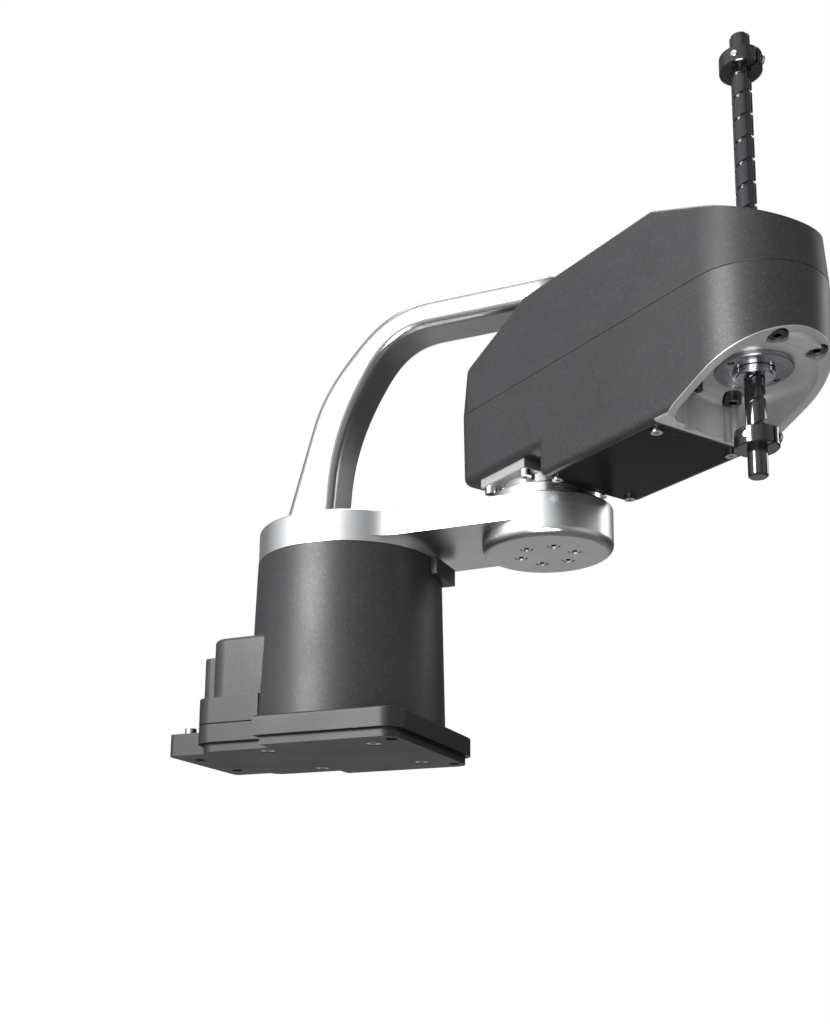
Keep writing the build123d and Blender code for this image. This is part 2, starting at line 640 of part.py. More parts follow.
# Inner arm: a hub disc, a level arm with its sides blended into the hub, and the elbow
foot_middle = (ARCH_FOOT_OUT + ARCH_FOOT_IN) / 2
foot_screw_x = (ARCH_FOOT_IN - ARCH_FOOT_OUT) / 2 + FOOT_EAR / 2
foot_places = [
    (x, y) for x in (-foot_screw_x, foot_screw_x) for y in (-FOOT_SCREW_Y, FOOT_SCREW_Y)
]
with BuildPart() as link1_casting:
    with BuildSketch(inner.offset(HUB_Z + ARM_RISE)) as arm_plan:
        Circle(HUB_R)
        with BuildLine():
            Polyline(
                (0, ARM_HALF_HUB), (INNER_REACH, ELBOW_R),
                (INNER_REACH, -ELBOW_R), (0, -ARM_HALF_HUB), close=True
            )
        make_face()
        blends = arm_plan.vertices().filter_by_position(Axis.X, HUB_R / 2, HUB_R)
        fillet(blends, ARM_BLEND)
        with Locations((INNER_REACH, 0)):
            Circle(ELBOW_R)
    extrude(amount=HUB_THICK - ARM_RISE)
    with BuildSketch(inner.offset(ARM_TOP)):
        with Locations((INNER_REACH, 0)):
            Circle(ELBOW_R)
    extrude(amount=-ELBOW_THICK)
    fillet(link1_casting.edges().group_by(Axis.Z)[0], ELBOW_R - ELBOW_FOOT_R)
    with BuildSketch(inner.offset(ARM_TOP)):
        Circle(HUB_R)
    extrude(amount=-HUB_THICK)
    fillet(link1_casting.edges().group_by(Axis.Z)[-1], ARM_EDGE)
    with BuildSketch(inner.offset(ARM_TOP)):
        with Locations(*hub_places):
            Circle(M3[1] + SCREW_CLEARANCE)
    extrude(amount=-M3[2] - SCREW_CLEARANCE, mode=Mode.SUBTRACT)
    with BuildSketch(inner.offset(HUB_Z)):
        with Locations(*hub_places):
            Circle(M3[0] + SCREW_CLEARANCE)
    extrude(amount=HUB_THICK, mode=Mode.SUBTRACT)
    with BuildSketch(inner.offset(HUB_Z)):
        SlotCenterToCenter(2 * CABLE_SHIFT, 2 * CABLE_R)
        with Locations((CABLE_SHIFT, 0)):
            Rectangle(2 * CABLE_SHIFT, 2 * CABLE_R, mode=Mode.SUBTRACT)
        Circle(CABLE_R)
    extrude(amount=HUB_THICK / 2, mode=Mode.SUBTRACT)
    with BuildSketch(inner.offset(HUB_Z)):
        with Locations((-CABLE_SHIFT, 0)):
            Circle(CABLE_R)
    extrude(amount=HUB_THICK, mode=Mode.SUBTRACT)
    with BuildSketch(spot(inner, foot_middle, 0, ARM_TOP)):
        with Locations(*foot_places):
            Circle(M3[0])
    extrude(amount=-2 * M3[2], mode=Mode.SUBTRACT)
    with BuildSketch(spot(inner, INNER_REACH, 0, ELBOW_Z)):
        with Locations(*elbow_places):
            Circle(M3[1] + SCREW_CLEARANCE)
    extrude(amount=M3[2] + HEAD_SINK, mode=Mode.SUBTRACT)
    with BuildSketch(spot(inner, INNER_REACH, 0, ELBOW_Z)):
        with Locations(*elbow_places):
            Circle(M3[0] + SCREW_CLEARANCE)
    extrude(amount=ELBOW_THICK, mode=Mode.SUBTRACT)
link1_casting.part.label = "link1_casting"
export_step(link1_casting.part, "parts/link1_casting.step")

hub_seat = inner.offset(ARM_TOP - M3[2] - SCREW_CLEARANCE)
with BuildPart() as hub_screws:
    add(cap_screws(hub_seat, hub_places, M3, HUB_THICK))
hub_screws.part.label = "hub_screws"
export_step(hub_screws.part, "parts/hub_screws.step")

elbow_seat = spot(inner, INNER_REACH, 0, ELBOW_Z + M3[2] + HEAD_SINK)
elbow_shank = ARM_TOP + RING_2_THICK / 2 - ELBOW_Z - M3[2] - HEAD_SINK
with BuildPart() as elbow_screws:
    add(cap_screws(elbow_seat, elbow_places, M3, elbow_shank, -1))
elbow_screws.part.label = "elbow_screws"
export_step(elbow_screws.part, "parts/elbow_screws.step")

# Output ring of the second joint on top of the elbow
with BuildPart() as j2_output_ring:
    with BuildSketch(spot(inner, INNER_REACH, 0, ARM_TOP)):
        Circle(RING_2_R)
    extrude(amount=RING_2_THICK)
    fillet(j2_output_ring.edges().group_by(Axis.Z)[-1], ARM_EDGE)
    with BuildSketch(spot(inner, INNER_REACH, 0, RING_2_TOP)):
        Circle(SPIGOT_2_R)
    extrude(amount=REDUCER_2_THICK)
    with BuildSketch(spot(inner, INNER_REACH, 0, ARM_TOP)):
        with Locations(*elbow_places):
            Circle(M3[0])
    extrude(amount=RING_2_THICK / 2, mode=Mode.SUBTRACT)
j2_output_ring.part.label = "j2_output_ring"
export_step(j2_output_ring.part, "parts/j2_output_ring.step")

# Cable arch: a hollow duct that rises from the hub, leans forward and ends over the elbow
arch_base = ARM_TOP + ARCH_FLANGE


def arch_shape(inset):
    """The arch's outline drawn in by an inset, at its full length, without its rounding."""
    slant = inset * cos(radians(45))
    tip = INNER_REACH + ARCH_WIDE / 2 - inset
    roof = ARCH_TOP - inset
    soffit = ARCH_TOP - ARCH_DEEP + inset
    knee_out = (ARCH_KNEE_OUT[0] + inset, ARCH_TOP - ARCH_KNEE_OUT[1])
    crown_out = (ARCH_CROWN_OUT[0] + slant, ARCH_TOP - ARCH_CROWN_OUT[1] - slant)
    knee_in = (ARCH_KNEE_IN[0] - inset, ARCH_TOP - ARCH_KNEE_IN[1])
    crown_in = (ARCH_CROWN_IN[0] - slant, ARCH_TOP - ARCH_CROWN_IN[1] + slant)
    with BuildPart() as shape:
        with BuildSketch(side(inner)):
            with BuildLine():
                leg_out = Line((ARCH_FOOT_OUT + inset, arch_base), knee_out)
                rise = Spline(
                    leg_out @ 1, crown_out, (ARCH_LEVEL_OUT, roof),
                    tangents=[leg_out % 1, (1, 0)],
                )
                Polyline(rise @ 1, (tip, roof), (tip, soffit), (ARCH_LEVEL_IN, soffit))
                leg_in = Line(knee_in, (ARCH_FOOT_IN - inset, arch_base))
                Spline(
                    (ARCH_LEVEL_IN, soffit), crown_in, leg_in @ 0,
                    tangents=[(-1, 0), leg_in % 0],
                )
                Line(leg_in @ 1, leg_out @ 0)
            make_face()
        extrude(amount=ARCH_WIDE / 2 - inset, both=True)
    return shape.part


arch_hollow = arch_shape(ARCH_WALL)
with BuildPart() as arch_duct:
    add(arch_shape(0))
    tips = arch_duct.edges().filter_by(Axis.Z).group_by(Axis.X)[-1]
    fillet(tips, ARCH_WIDE / 2 - ARCH_WALL / 10)
    sides = arch_duct.faces().filter_by(side(inner)).edges()
    fillet(sides.filter_by(lambda edge: edge.center().Z > arch_base + EDGE_R), ARCH_ROUND)
    add(arch_hollow, mode=Mode.SUBTRACT)
    with BuildSketch(spot(inner, INNER_REACH, 0, ARCH_TOP - ARCH_DEEP)):
        Circle(SWIVEL_R - SWIVEL_WALL)
    extrude(amount=2 * ARCH_WALL, mode=Mode.SUBTRACT)
arch_duct.part.label = "arch_duct"
export_step(arch_duct.part, "parts/arch_duct.step")

with BuildPart() as arch_foot:
    with BuildSketch(spot(inner, foot_middle, 0, ARM_TOP)):
        RectangleRounded(ARCH_FOOT_IN - ARCH_FOOT_OUT + 2 * FOOT_EAR, ARCH_WIDE, M3[1])
        Rectangle(
            ARCH_FOOT_IN - ARCH_FOOT_OUT - 3 * ARCH_WALL, ARCH_WIDE - 2 * ARCH_WALL,
            mode=Mode.SUBTRACT,
        )
        with Locations(*foot_places):
            Circle(M3[0] + SCREW_CLEARANCE, mode=Mode.SUBTRACT)
    extrude(amount=ARCH_FLANGE)
arch_foot.part.label = "arch_foot"
export_step(arch_foot.part, "parts/arch_foot.step")

with BuildPart() as arch_foot_screws:
    add(cap_screws(spot(inner, foot_middle, 0, arch_base), foot_places, M3, ARCH_FLANGE + M3[2]))
arch_foot_screws.part.label = "arch_foot_screws"
export_step(arch_foot_screws.part, "parts/arch_foot_screws.step")

# The arch's column turns inside the collar on the outer arm's roof
with BuildPart() as arch_swivel:
    with BuildSketch(spot(inner, INNER_REACH, 0, ARCH_TOP - ARCH_DEEP)):
        Circle(SWIVEL_R)
        Circle(SWIVEL_R - SWIVEL_WALL, mode=Mode.SUBTRACT)
    extrude(amount=SWIVEL_BOTTOM - ARCH_TOP + ARCH_DEEP)
arch_swivel.part.label = "arch_swivel"
export_step(arch_swivel.part, "parts/arch_swivel.step")

# Second joint's reducer and the bright block that carries the outer arm
with BuildPart() as j2_reducer_ring:
    with BuildSketch(outer.offset(REDUCER_2_Z)):
        Circle(REDUCER_2_R)
        Circle(SPIGOT_2_R + RUNNING_FIT, mode=Mode.SUBTRACT)
    extrude(amount=REDUCER_2_THICK)
j2_reducer_ring.part.label = "j2_reducer_ring"
export_step(j2_reducer_ring.part, "parts/j2_reducer_ring.step")

block_places = [(x, y) for x in BLOCK_SCREW_X for y in (-BLOCK_SCREW_Y, BLOCK_SCREW_Y)]
with BuildPart() as j2_flange_block:
    with BuildSketch(outer.offset(BLOCK_Z)):
        with Locations(((BLOCK_BACK + BLOCK_FRONT) / 2, 0)):
            Rectangle(BLOCK_FRONT - BLOCK_BACK, 2 * BLOCK_HALF)
        with Locations(*block_places):
            Circle(M3[0] + SCREW_CLEARANCE, mode=Mode.SUBTRACT)
    extrude(amount=BLOCK_THICK)
    chamfer(j2_flange_block.faces().sort_by(Axis.Z)[0].outer_wire().edges(), BLOCK_EDGE)
j2_flange_block.part.label = "j2_flange_block"
export_step(j2_flange_block.part, "parts/j2_flange_block.step")

with BuildPart() as flange_screws:
    add(cap_screws(outer.offset(BLOCK_Z), block_places, M3, BLOCK_THICK + CASE_WALL, -1))
flange_screws.part.label = "flange_screws"
export_step(flange_screws.part, "parts/flange_screws.step")


def case_plan(height, inset):
    """The outer arm's plan at a height: a flat rear with rounded corners, a round nose."""
    with BuildSketch(outer.offset(height)) as plan:
        with Locations(((CASE_BACK + OUTER_REACH) / 2, 0)):
            Rectangle(OUTER_REACH - CASE_BACK - inset, 2 * (CASE_HALF - inset))
        corners = plan.vertices().filter_by(
            lambda corner: outer.to_local_coords(corner).X < 0
        )
        fillet(corners, CASE_CORNER - inset)
        with Locations((OUTER_REACH, 0)):
            Circle(CASE_HALF - inset)
    return plan.sketch


def cover_form(inset):
    """The drafted and bevelled form of the upper cover, drawn in by an inset."""
    run = OUTER_REACH + CASE_HALF - CASE_BACK
    with BuildPart() as form:
        add(case_plan(CASE_PARTING, inset))
        extrude(amount=CASE_ROOF - inset - CASE_PARTING, taper=UPPER_DRAFT, dir=(0, 0, 1))
        with BuildSketch(side(outer)):
            with BuildLine():
                Polyline(
                    (REAR_ROOF_X, CASE_ROOF - inset),
                    (REAR_ROOF_X - run, CASE_ROOF - inset - run * tan(radians(REAR_ROOF_SLOPE))),
                    (REAR_ROOF_X - run, CASE_ROOF + inset + run),
                    (FRONT_ROOF_X + run, CASE_ROOF + inset + run),
                    (FRONT_ROOF_X + run, CASE_ROOF - inset - run * tan(radians(FRONT_ROOF_SLOPE))),
                    (FRONT_ROOF_X, CASE_ROOF - inset),
                    close=True,
                )
            make_face()
        extrude(amount=2 * CASE_HALF, both=True, mode=Mode.SUBTRACT)
    return form.part


cover_core = cover_form(CASE_WALL)
post_places = [(x, y) for x in POST_X for y in (-POST_Y, POST_Y)]
post_seat = POST_TOP + CASE_WALL
with BuildPart() as cover_bosses:
    add(cover_form(CASE_WALL / 2))
    with BuildSketch(outer.offset(POST_TOP)):
        with Locations(*post_places):
            Circle(POST_R + ROOF_ROUND)
    extrude(amount=CASE_ROOF - POST_TOP, mode=Mode.INTERSECT)

with BuildPart() as upper_cover:
    add(cover_form(0))
    roof_edges = upper_cover.edges().filter_by(
        lambda edge: edge.center().Z > CASE_PARTING + CASE_WALL and abs(edge.tangent_at(0.5).Z) < 0.9
    )
    fillet(roof_edges, ROOF_ROUND)
    chamfer(upper_cover.faces().sort_by(Axis.Z)[0].edges(), PARTING_GROOVE)
    add(cover_core, mode=Mode.SUBTRACT)
    add(cover_bosses.part)
    with BuildSketch(outer.offset(POST_TOP)):
        with Locations(*post_places):
            Circle(M3[0] + SCREW_CLEARANCE)
    extrude(amount=CASE_ROOF - POST_TOP, mode=Mode.SUBTRACT)
    with BuildSketch(outer.offset(post_seat)):
        with Locations(*post_places):
            Circle(M3[1] + SCREW_CLEARANCE)
    extrude(amount=CASE_ROOF - post_seat, mode=Mode.SUBTRACT)
    with BuildSketch(outer.offset(COLLAR_BASE)):
        Circle(GROMMET_R)
    extrude(amount=CASE_ROOF - COLLAR_BASE, mode=Mode.SUBTRACT)
    with BuildSketch(outer.offset(SCREW_NUT_TOP)):
        with Locations((OUTER_REACH, 0)):
            Circle(SHAFT_HOLE_R)
    extrude(amount=CASE_ROOF - SCREW_NUT_TOP, mode=Mode.SUBTRACT)
upper_cover.part.label = "upper_cover"
export_step(upper_cover.part, "parts/upper_cover.step")

with BuildPart() as cover_screws:
    add(cap_screws(outer.offset(post_seat), post_places, M3, CASE_WALL + M3[2]))
cover_screws.part.label = "cover_screws"
export_step(cover_screws.part, "parts/cover_screws.step")

# Collar on the roof in which the arch's column turns
with BuildPart() as roof_collar:
    with BuildSketch(outer.offset(COLLAR_BASE)):
        Circle(GROMMET_R)
        Circle(SWIVEL_R + RUNNING_FIT, mode=Mode.SUBTRACT)
    extrude(amount=GROMMET_TOP - COLLAR_BASE)
    fillet(roof_collar.edges().group_by(Axis.Z)[-1].sort_by(SortBy.LENGTH)[-1], ARM_EDGE)
roof_collar.part.label = "roof_collar"
export_step(roof_collar.part, "parts/roof_collar.step")

# Lower casing: a drafted shell whose rear is stepped up over the block and whose nose
# hollows out around the spindle
case_drop = CASE_PARTING - CASE_BOTTOM
low_half = CASE_HALF - case_drop * tan(radians(LOWER_DRAFT))
ledge_top = CASE_BOTTOM + COVER_THICK + CASE_WALL
cover_mid = (COVER_BACK + COVER_FRONT) / 2
cover_long = COVER_FRONT - COVER_BACK
cover_places = [(x, y) for x in COVER_SCREW_X for y in (-COVER_SCREW_Y, COVER_SCREW_Y)]
nose_x = NOSE_SCREW_R * cos(radians(NOSE_SCREW_TURN))
nose_y = NOSE_SCREW_R * sin(radians(NOSE_SCREW_TURN))
nose_front = [(OUTER_REACH + nose_x, y) for y in (-nose_y, nose_y)]
nose_rear = [(OUTER_REACH - nose_x, y) for y in (-nose_y, nose_y)]
nose_places = nose_front + nose_rear
front_seat = RECESS_TOP + NOSE_SEAT
rear_seat = RECESS_TOP
bed_places = [(x, y) for x in BED_SCREW_X for y in (-BED_SCREW_Y, BED_SCREW_Y)]
ledge_inner = BED_SCREW_Y - M3[1]
ledge_outer = CASE_HALF - CASE_WALL / 2
ledge_places = [
    (x, way * (ledge_inner + ledge_outer) / 2) for x in BED_SCREW_X for way in (-1, 1)
]

# The hollow under the nose: square at the back, round at the front, its ceiling blended
# into its walls
with BuildPart() as recess_form:
    with BuildSketch(outer.offset(CASE_BOTTOM)) as recess_plan:
        with Locations(((RECESS_BACK + OUTER_REACH) / 2, 0)):
            Rectangle(OUTER_REACH - RECESS_BACK, 2 * (CASE_HALF - RECESS_LIP))
        recess_corners = recess_plan.vertices().filter_by(
            lambda corner: outer.to_local_coords(corner).X < OUTER_REACH - RECESS_ROUND
        )
        fillet(recess_corners, RECESS_CORNER)
        with Locations((OUTER_REACH, 0)):
            Circle(CASE_HALF - RECESS_LIP)
    extrude(amount=RECESS_TOP - CASE_BOTTOM)
    fillet(recess_form.edges().group_by(Axis.Z)[-1], RECESS_ROUND)

with BuildPart() as lower_casing:
    add(case_plan(CASE_PARTING, 0))
    extrude(amount=CASE_PARTING - CASE_REAR_BOTTOM, taper=LOWER_DRAFT, dir=(0, 0, -1))
    fillet(lower_casing.edges().group_by(Axis.Z)[0], BOTTOM_ROUND)
    with BuildSketch(outer.offset(CASE_PARTING)) as front_plan:
        with Locations(((NOTCH_X + OUTER_REACH) / 2, 0)):
            Rectangle(OUTER_REACH - NOTCH_X, 2 * CASE_HALF)
        notch_corners = front_plan.vertices().filter_by(
            lambda corner: outer.to_local_coords(corner).X < OUTER_REACH / 2
        )
        fillet(notch_corners, NOTCH_ROUND)
        with Locations((OUTER_REACH, 0)):
            Circle(CASE_HALF)
    extrude(amount=-case_drop, taper=LOWER_DRAFT)
    fillet(lower_casing.edges().group_by(Axis.Z)[0], BOTTOM_ROUND)
    nose_run = OUTER_REACH + CASE_HALF + CASE_WALL - NOSE_CUT_X
    with BuildSketch(side(outer)):
        with BuildLine():
            Polyline(
                (NOSE_CUT_X, CASE_BOTTOM),
                (NOSE_CUT_X + nose_run, CASE_BOTTOM + nose_run * tan(radians(NOSE_CUT_SLOPE))),
                (NOSE_CUT_X + nose_run, CASE_BOTTOM), close=True,
            )
        make_face()
    extrude(amount=2 * CASE_HALF, both=True, mode=Mode.SUBTRACT)
    add(case_plan(CASE_PARTING, CASE_WALL))
    extrude(
        amount=CASE_PARTING - FLOOR_TOP, taper=LOWER_DRAFT, dir=(0, 0, -1), mode=Mode.SUBTRACT
    )
    with BuildSketch(spot(outer, OUTER_REACH, 0, RECESS_TOP)):
        Circle(CASE_HALF - CASE_WALL / 2 - PAD_INSET)
    extrude(amount=RECESS_WEB)
    with BuildSketch(outer.offset(FLOOR_TOP)):
        with Locations(((PIT_BACK + PIT_FRONT) / 2, 0)):
            Rectangle(PIT_FRONT - PIT_BACK, 2 * (low_half - CASE_WALL))
    extrude(amount=ledge_top - FLOOR_TOP, mode=Mode.SUBTRACT)
    with BuildSketch(outer.offset(CASE_BOTTOM)):
        with Locations((cover_mid, 0)):
            RectangleRounded(
                cover_long + 2 * SCREW_CLEARANCE, 2 * COVER_HALF + 2 * SCREW_CLEARANCE, COVER_CORNER
            )
    extrude(amount=COVER_THICK, mode=Mode.SUBTRACT)
    with BuildSketch(outer.offset(CASE_BOTTOM)):
        with Locations((cover_mid, 0)):
            RectangleRounded(
                cover_long - 2 * COVER_LEDGE, 2 * COVER_HALF - 2 * COVER_LEDGE, COVER_CORNER
            )
    extrude(amount=ledge_top - CASE_BOTTOM, mode=Mode.SUBTRACT)
    add(recess_form.part, mode=Mode.SUBTRACT)
    with BuildSketch(outer.offset(CASE_BOTTOM)):
        with Locations(*nose_front):
            Circle(M4[1] + POCKET_EASE)
    extrude(amount=front_seat - CASE_BOTTOM, mode=Mode.SUBTRACT)
    with BuildSketch(outer.offset(CASE_BOTTOM)):
        with Locations(*nose_rear):
            Circle(M4[1] + POCKET_EASE)
    extrude(amount=rear_seat - CASE_BOTTOM, mode=Mode.SUBTRACT)
    with BuildSketch(outer.offset(CASE_BOTTOM)):
        with Locations(*nose_places):
            Circle(M4[0] + SCREW_CLEARANCE)
        with Locations((OUTER_REACH, 0)):
            Circle(SPLINE_NUT_R + ROUND_GAP)
    extrude(amount=PAD_TOP - CASE_BOTTOM, mode=Mode.SUBTRACT)
    with BuildSketch(outer.offset(CASE_REAR_BOTTOM)):
        with Locations(((BLOCK_BACK + BLOCK_FRONT) / 2, 0)):
            Rectangle(BLOCK_FRONT - BLOCK_BACK, 2 * BLOCK_HALF)
    extrude(amount=BLOCK_TOP - CASE_REAR_BOTTOM, mode=Mode.SUBTRACT)
    with BuildSketch(outer.offset(BLOCK_TOP)):
        with Locations(*block_places):
            Circle(M3[0])
    extrude(amount=CASE_WALL, mode=Mode.SUBTRACT)
    with BuildSketch(outer.offset(BED_Z)):
        with Locations(*ledge_places):
            Rectangle(LEDGE_LONG, ledge_outer - ledge_inner)
    extrude(amount=-LEDGE_TALL)
    with BuildSketch(outer.offset(FLOOR_TOP)):
        with Locations(*post_places):
            Circle(POST_R)
    extrude(amount=POST_TOP - FLOOR_TOP)
    with BuildSketch(outer.offset(POST_TOP)):
        with Locations(*post_places):
            Circle(M3[0])
    extrude(amount=-M3[2], mode=Mode.SUBTRACT)
    with BuildSketch(outer.offset(BED_Z)):
        with Locations(*bed_places):
            Circle(M3[0])
    extrude(amount=-M3[2], mode=Mode.SUBTRACT)
    with BuildSketch(outer.offset(ledge_top)):
        with Locations(*cover_places):
            Circle(BUTTON[0])
    extrude(amount=-CASE_WALL, mode=Mode.SUBTRACT)
lower_casing.part.label = "lower_casing"
export_step(lower_casing.part, "parts/lower_casing.step")

frame_foot_top = PAD_TOP + FRAME_FOOT
with BuildPart() as nose_screws:
    add(cap_screws(outer.offset(front_seat), nose_front, M4, frame_foot_top - front_seat, -1))
    add(cap_screws(outer.offset(rear_seat), nose_rear, M4, frame_foot_top - rear_seat, -1))
nose_screws.part.label = "nose_screws"
export_step(nose_screws.part, "parts/nose_screws.step")

# Gloss plate that closes the casing's underside
with BuildPart() as underside_plate:
    with BuildSketch(outer.offset(CASE_BOTTOM)):
        with Locations((cover_mid, 0)):
            RectangleRounded(cover_long, 2 * COVER_HALF, COVER_CORNER)
        with Locations(*cover_places):
            Circle(BUTTON[0] + SCREW_CLEARANCE, mode=Mode.SUBTRACT)
    extrude(amount=COVER_THICK)
underside_plate.part.label = "underside_plate"
export_step(underside_plate.part, "parts/underside_plate.step")

with BuildPart() as underside_plate_screws:
    cover_shank = COVER_THICK + CASE_WALL
    add(cap_screws(outer.offset(CASE_BOTTOM), cover_places, BUTTON, cover_shank, -1))
underside_plate_screws.part.label = "underside_plate_screws"
export_step(underside_plate_screws.part, "parts/underside_plate_screws.step")

# Ring under the recess's ceiling with two key holes, and the nut's own end ring
spindle_axis = spot(outer, OUTER_REACH, 0, 0)
with BuildPart() as bearing_plate:
    with BuildSketch(spindle_axis.offset(RECESS_TOP)):
        Circle(PLATE_4_R)
        Circle(SPLINE_NUT_R + ROUND_GAP, mode=Mode.SUBTRACT)
        with Locations((0, PLATE_4_HOLE_AT), (0, -PLATE_4_HOLE_AT)):
            Circle(PLATE_4_HOLE_R, mode=Mode.SUBTRACT)
    extrude(amount=-PLATE_4_THICK)
    chamfer(bearing_plate.edges().group_by(Axis.Z)[0].sort_by(SortBy.LENGTH)[-1], BLOCK_EDGE)
bearing_plate.part.label = "bearing_plate"
export_step(bearing_plate.part, "parts/bearing_plate.step")

# Upright drum on the casing floor that carries the bearings of both nuts
with BuildPart() as spindle_frame:
    with BuildSketch(spindle_axis.offset(PAD_TOP)):
        Circle(FRAME_FOOT_R)
    extrude(amount=FRAME_FOOT)
    with BuildSketch(spindle_axis.offset(PAD_TOP)):
        Circle(FRAME_R)
    extrude(amount=SCREW_NUT_Z + BEARING_TALL - PAD_TOP)
    with BuildSketch(spindle_axis.offset(PAD_TOP)):
        Circle(BEARING_R)
    extrude(amount=SCREW_NUT_TOP - PAD_TOP, mode=Mode.SUBTRACT)
    with BuildSketch(spindle_axis.offset(PULLEY_4_Z - NUT_SPACE / 2)):
        with Locations((-FRAME_R / 2, 0)):
            Rectangle(FRAME_R, 2 * BELT_WINDOW)
    extrude(amount=PULLEY_TALL + NUT_SPACE, mode=Mode.SUBTRACT)
    with BuildSketch(outer.offset(PAD_TOP)):
        with Locations(*nose_places):
            Circle(M4[0])
    extrude(amount=FRAME_FOOT, mode=Mode.SUBTRACT)
spindle_frame.part.label = "spindle_frame"
export_step(spindle_frame.part, "parts/spindle_frame.step")

with BuildPart() as spline_bearings:
    for level in (PAD_TOP, BEARING_2_Z):
        with BuildSketch(spindle_axis.offset(level)):
            Circle(BEARING_R)
            Circle(SPLINE_NUT_R + RUNNING_FIT, mode=Mode.SUBTRACT)
        extrude(amount=BEARING_TALL)
spline_bearings.part.label = "spline_bearings"
export_step(spline_bearings.part, "parts/spline_bearings.step")

with BuildPart() as screw_bearing:
    with BuildSketch(spindle_axis.offset(SCREW_NUT_Z)):
        Circle(BEARING_R)
        Circle(SCREW_NUT_R + RUNNING_FIT, mode=Mode.SUBTRACT)
    extrude(amount=BEARING_TALL)
screw_bearing.part.label = "screw_bearing"
export_step(screw_bearing.part, "parts/screw_bearing.step")

# Spline nut: turns the shaft through ridges in its straight grooves
with BuildPart() as spline_nut:
    with BuildSketch(spindle_axis.offset(RING_NUT_Z - SPLINE_LIP)):
        Circle(SPLINE_NUT_R)
        Circle(SHAFT_R + RUNNING_FIT, mode=Mode.SUBTRACT)
    extrude(amount=SPLINE_NUT_TOP - RING_NUT_Z + SPLINE_LIP)
    with BuildSketch(spindle_axis.offset(PULLEY_4_Z)):
        with PolarLocations(SHAFT_R + RUNNING_FIT, SPLINE_GROOVES):
            Circle(SPLINE_KEY_R)
    extrude(amount=PULLEY_TALL)
spline_nut.part.label = "spline_nut"
export_step(spline_nut.part, "parts/spline_nut.step")

with BuildPart() as ring_nut:
    with BuildSketch(spindle_axis.offset(RING_NUT_Z)):
        Circle(RING_NUT_R)
        with PolarLocations(RING_NUT_R, 4):
            Rectangle(2 * ROUND_GAP, RING_NUT_TALL, mode=Mode.SUBTRACT)
        Circle(SPLINE_NUT_R, mode=Mode.SUBTRACT)
    extrude(amount=RING_NUT_TALL)
ring_nut.part.label = "ring_nut"
export_step(ring_nut.part, "parts/ring_nut.step")


def pulley(place, radius, bore):
    """A flanged belt pulley standing on a plane, with a plain bore or none."""
    with BuildPart() as wheel:
        with BuildSketch(place):
            Circle(radius)
        extrude(amount=PULLEY_FLANGE)
        with BuildSketch(place):
            Circle(radius - BELT_THICK - BELT_EASE)
        extrude(amount=PULLEY_TALL)
        with BuildSketch(place.offset(PULLEY_TALL - PULLEY_FLANGE)):
            Circle(radius)
        extrude(amount=PULLEY_FLANGE)
        if bore:
            with BuildSketch(place):
                Circle(bore)
            extrude(amount=PULLEY_TALL, mode=Mode.SUBTRACT)
    return wheel.part


def motor_pulley(x, level):
    """A small pulley on a motor's shaft, which reaches down into the motor."""
    place = spot(outer, x, 0, level)
    with BuildPart() as wheel:
        add(pulley(place, MOTOR_PULLEY_R, 0))
        with BuildSketch(spot(outer, x, 0, BED_Z - MOTOR_SHAFT_IN)):
            Circle(MOTOR_SHAFT_R)
        extrude(amount=level - BED_Z + MOTOR_SHAFT_IN)
    return wheel.part


def motor(x):
    """A square motor hung under the bed, with a round pilot and a hole for its shaft."""
    with BuildPart() as body:
        with BuildSketch(spot(outer, x, 0, BED_Z)):
            RectangleRounded(2 * MOTOR_HALF, 2 * MOTOR_HALF, MOTOR_CORNER)
        extrude(amount=-MOTOR_LONG)
        with BuildSketch(spot(outer, x, 0, BED_Z)):
            Circle(MOTOR_PILOT_R)
        extrude(amount=MOTOR_PILOT)
        with BuildSketch(spot(outer, x, 0, BED_Z + MOTOR_PILOT)):
            Circle(MOTOR_SHAFT_R + RUNNING_FIT)
        extrude(amount=-MOTOR_PILOT - MOTOR_SHAFT_IN - JOINT_GAP, mode=Mode.SUBTRACT)
        with BuildSketch(spot(outer, x, 0, BED_Z)):
            with GridLocations(MOTOR_BOLTS, MOTOR_BOLTS, 2, 2):
                Circle(M2[0])
        extrude(amount=-MOTOR_BOLT_DEEP, mode=Mode.SUBTRACT)
    return body.part


def belt(x, level):
    """A belt drawn tight around the nut's pulley and a motor's pulley."""
    with BuildPart() as loop:
        with BuildSketch(spindle_axis.offset(level + (PULLEY_TALL - BELT_TALL) / 2)):
            Circle(NUT_PULLEY_R)
            with Locations((x - OUTER_REACH, 0)):
                Circle(MOTOR_PULLEY_R)
            make_hull()
        extrude(amount=BELT_TALL)
        with BuildSketch(spindle_axis.offset(level + (PULLEY_TALL - BELT_TALL) / 2)):
            Circle(NUT_PULLEY_R - BELT_THICK)
            with Locations((x - OUTER_REACH, 0)):
                Circle(MOTOR_PULLEY_R - BELT_THICK)
            make_hull()
        extrude(amount=BELT_TALL, mode=Mode.SUBTRACT)
    return loop.part


with BuildPart() as spline_pulley:
    add(pulley(spindle_axis.offset(PULLEY_4_Z), NUT_PULLEY_R, SPLINE_NUT_R))
spline_pulley.part.label = "spline_pulley"
export_step(spline_pulley.part, "parts/spline_pulley.step")

with BuildPart() as screw_nut:
    with BuildSketch(spindle_axis.offset(SCREW_NUT_Z)):
        Circle(SCREW_NUT_R)
        Circle(SHAFT_R + RUNNING_FIT, mode=Mode.SUBTRACT)
    extrude(amount=SCREW_NUT_TOP - SCREW_NUT_Z)
screw_nut.part.label = "screw_nut"
export_step(screw_nut.part, "parts/screw_nut.step")

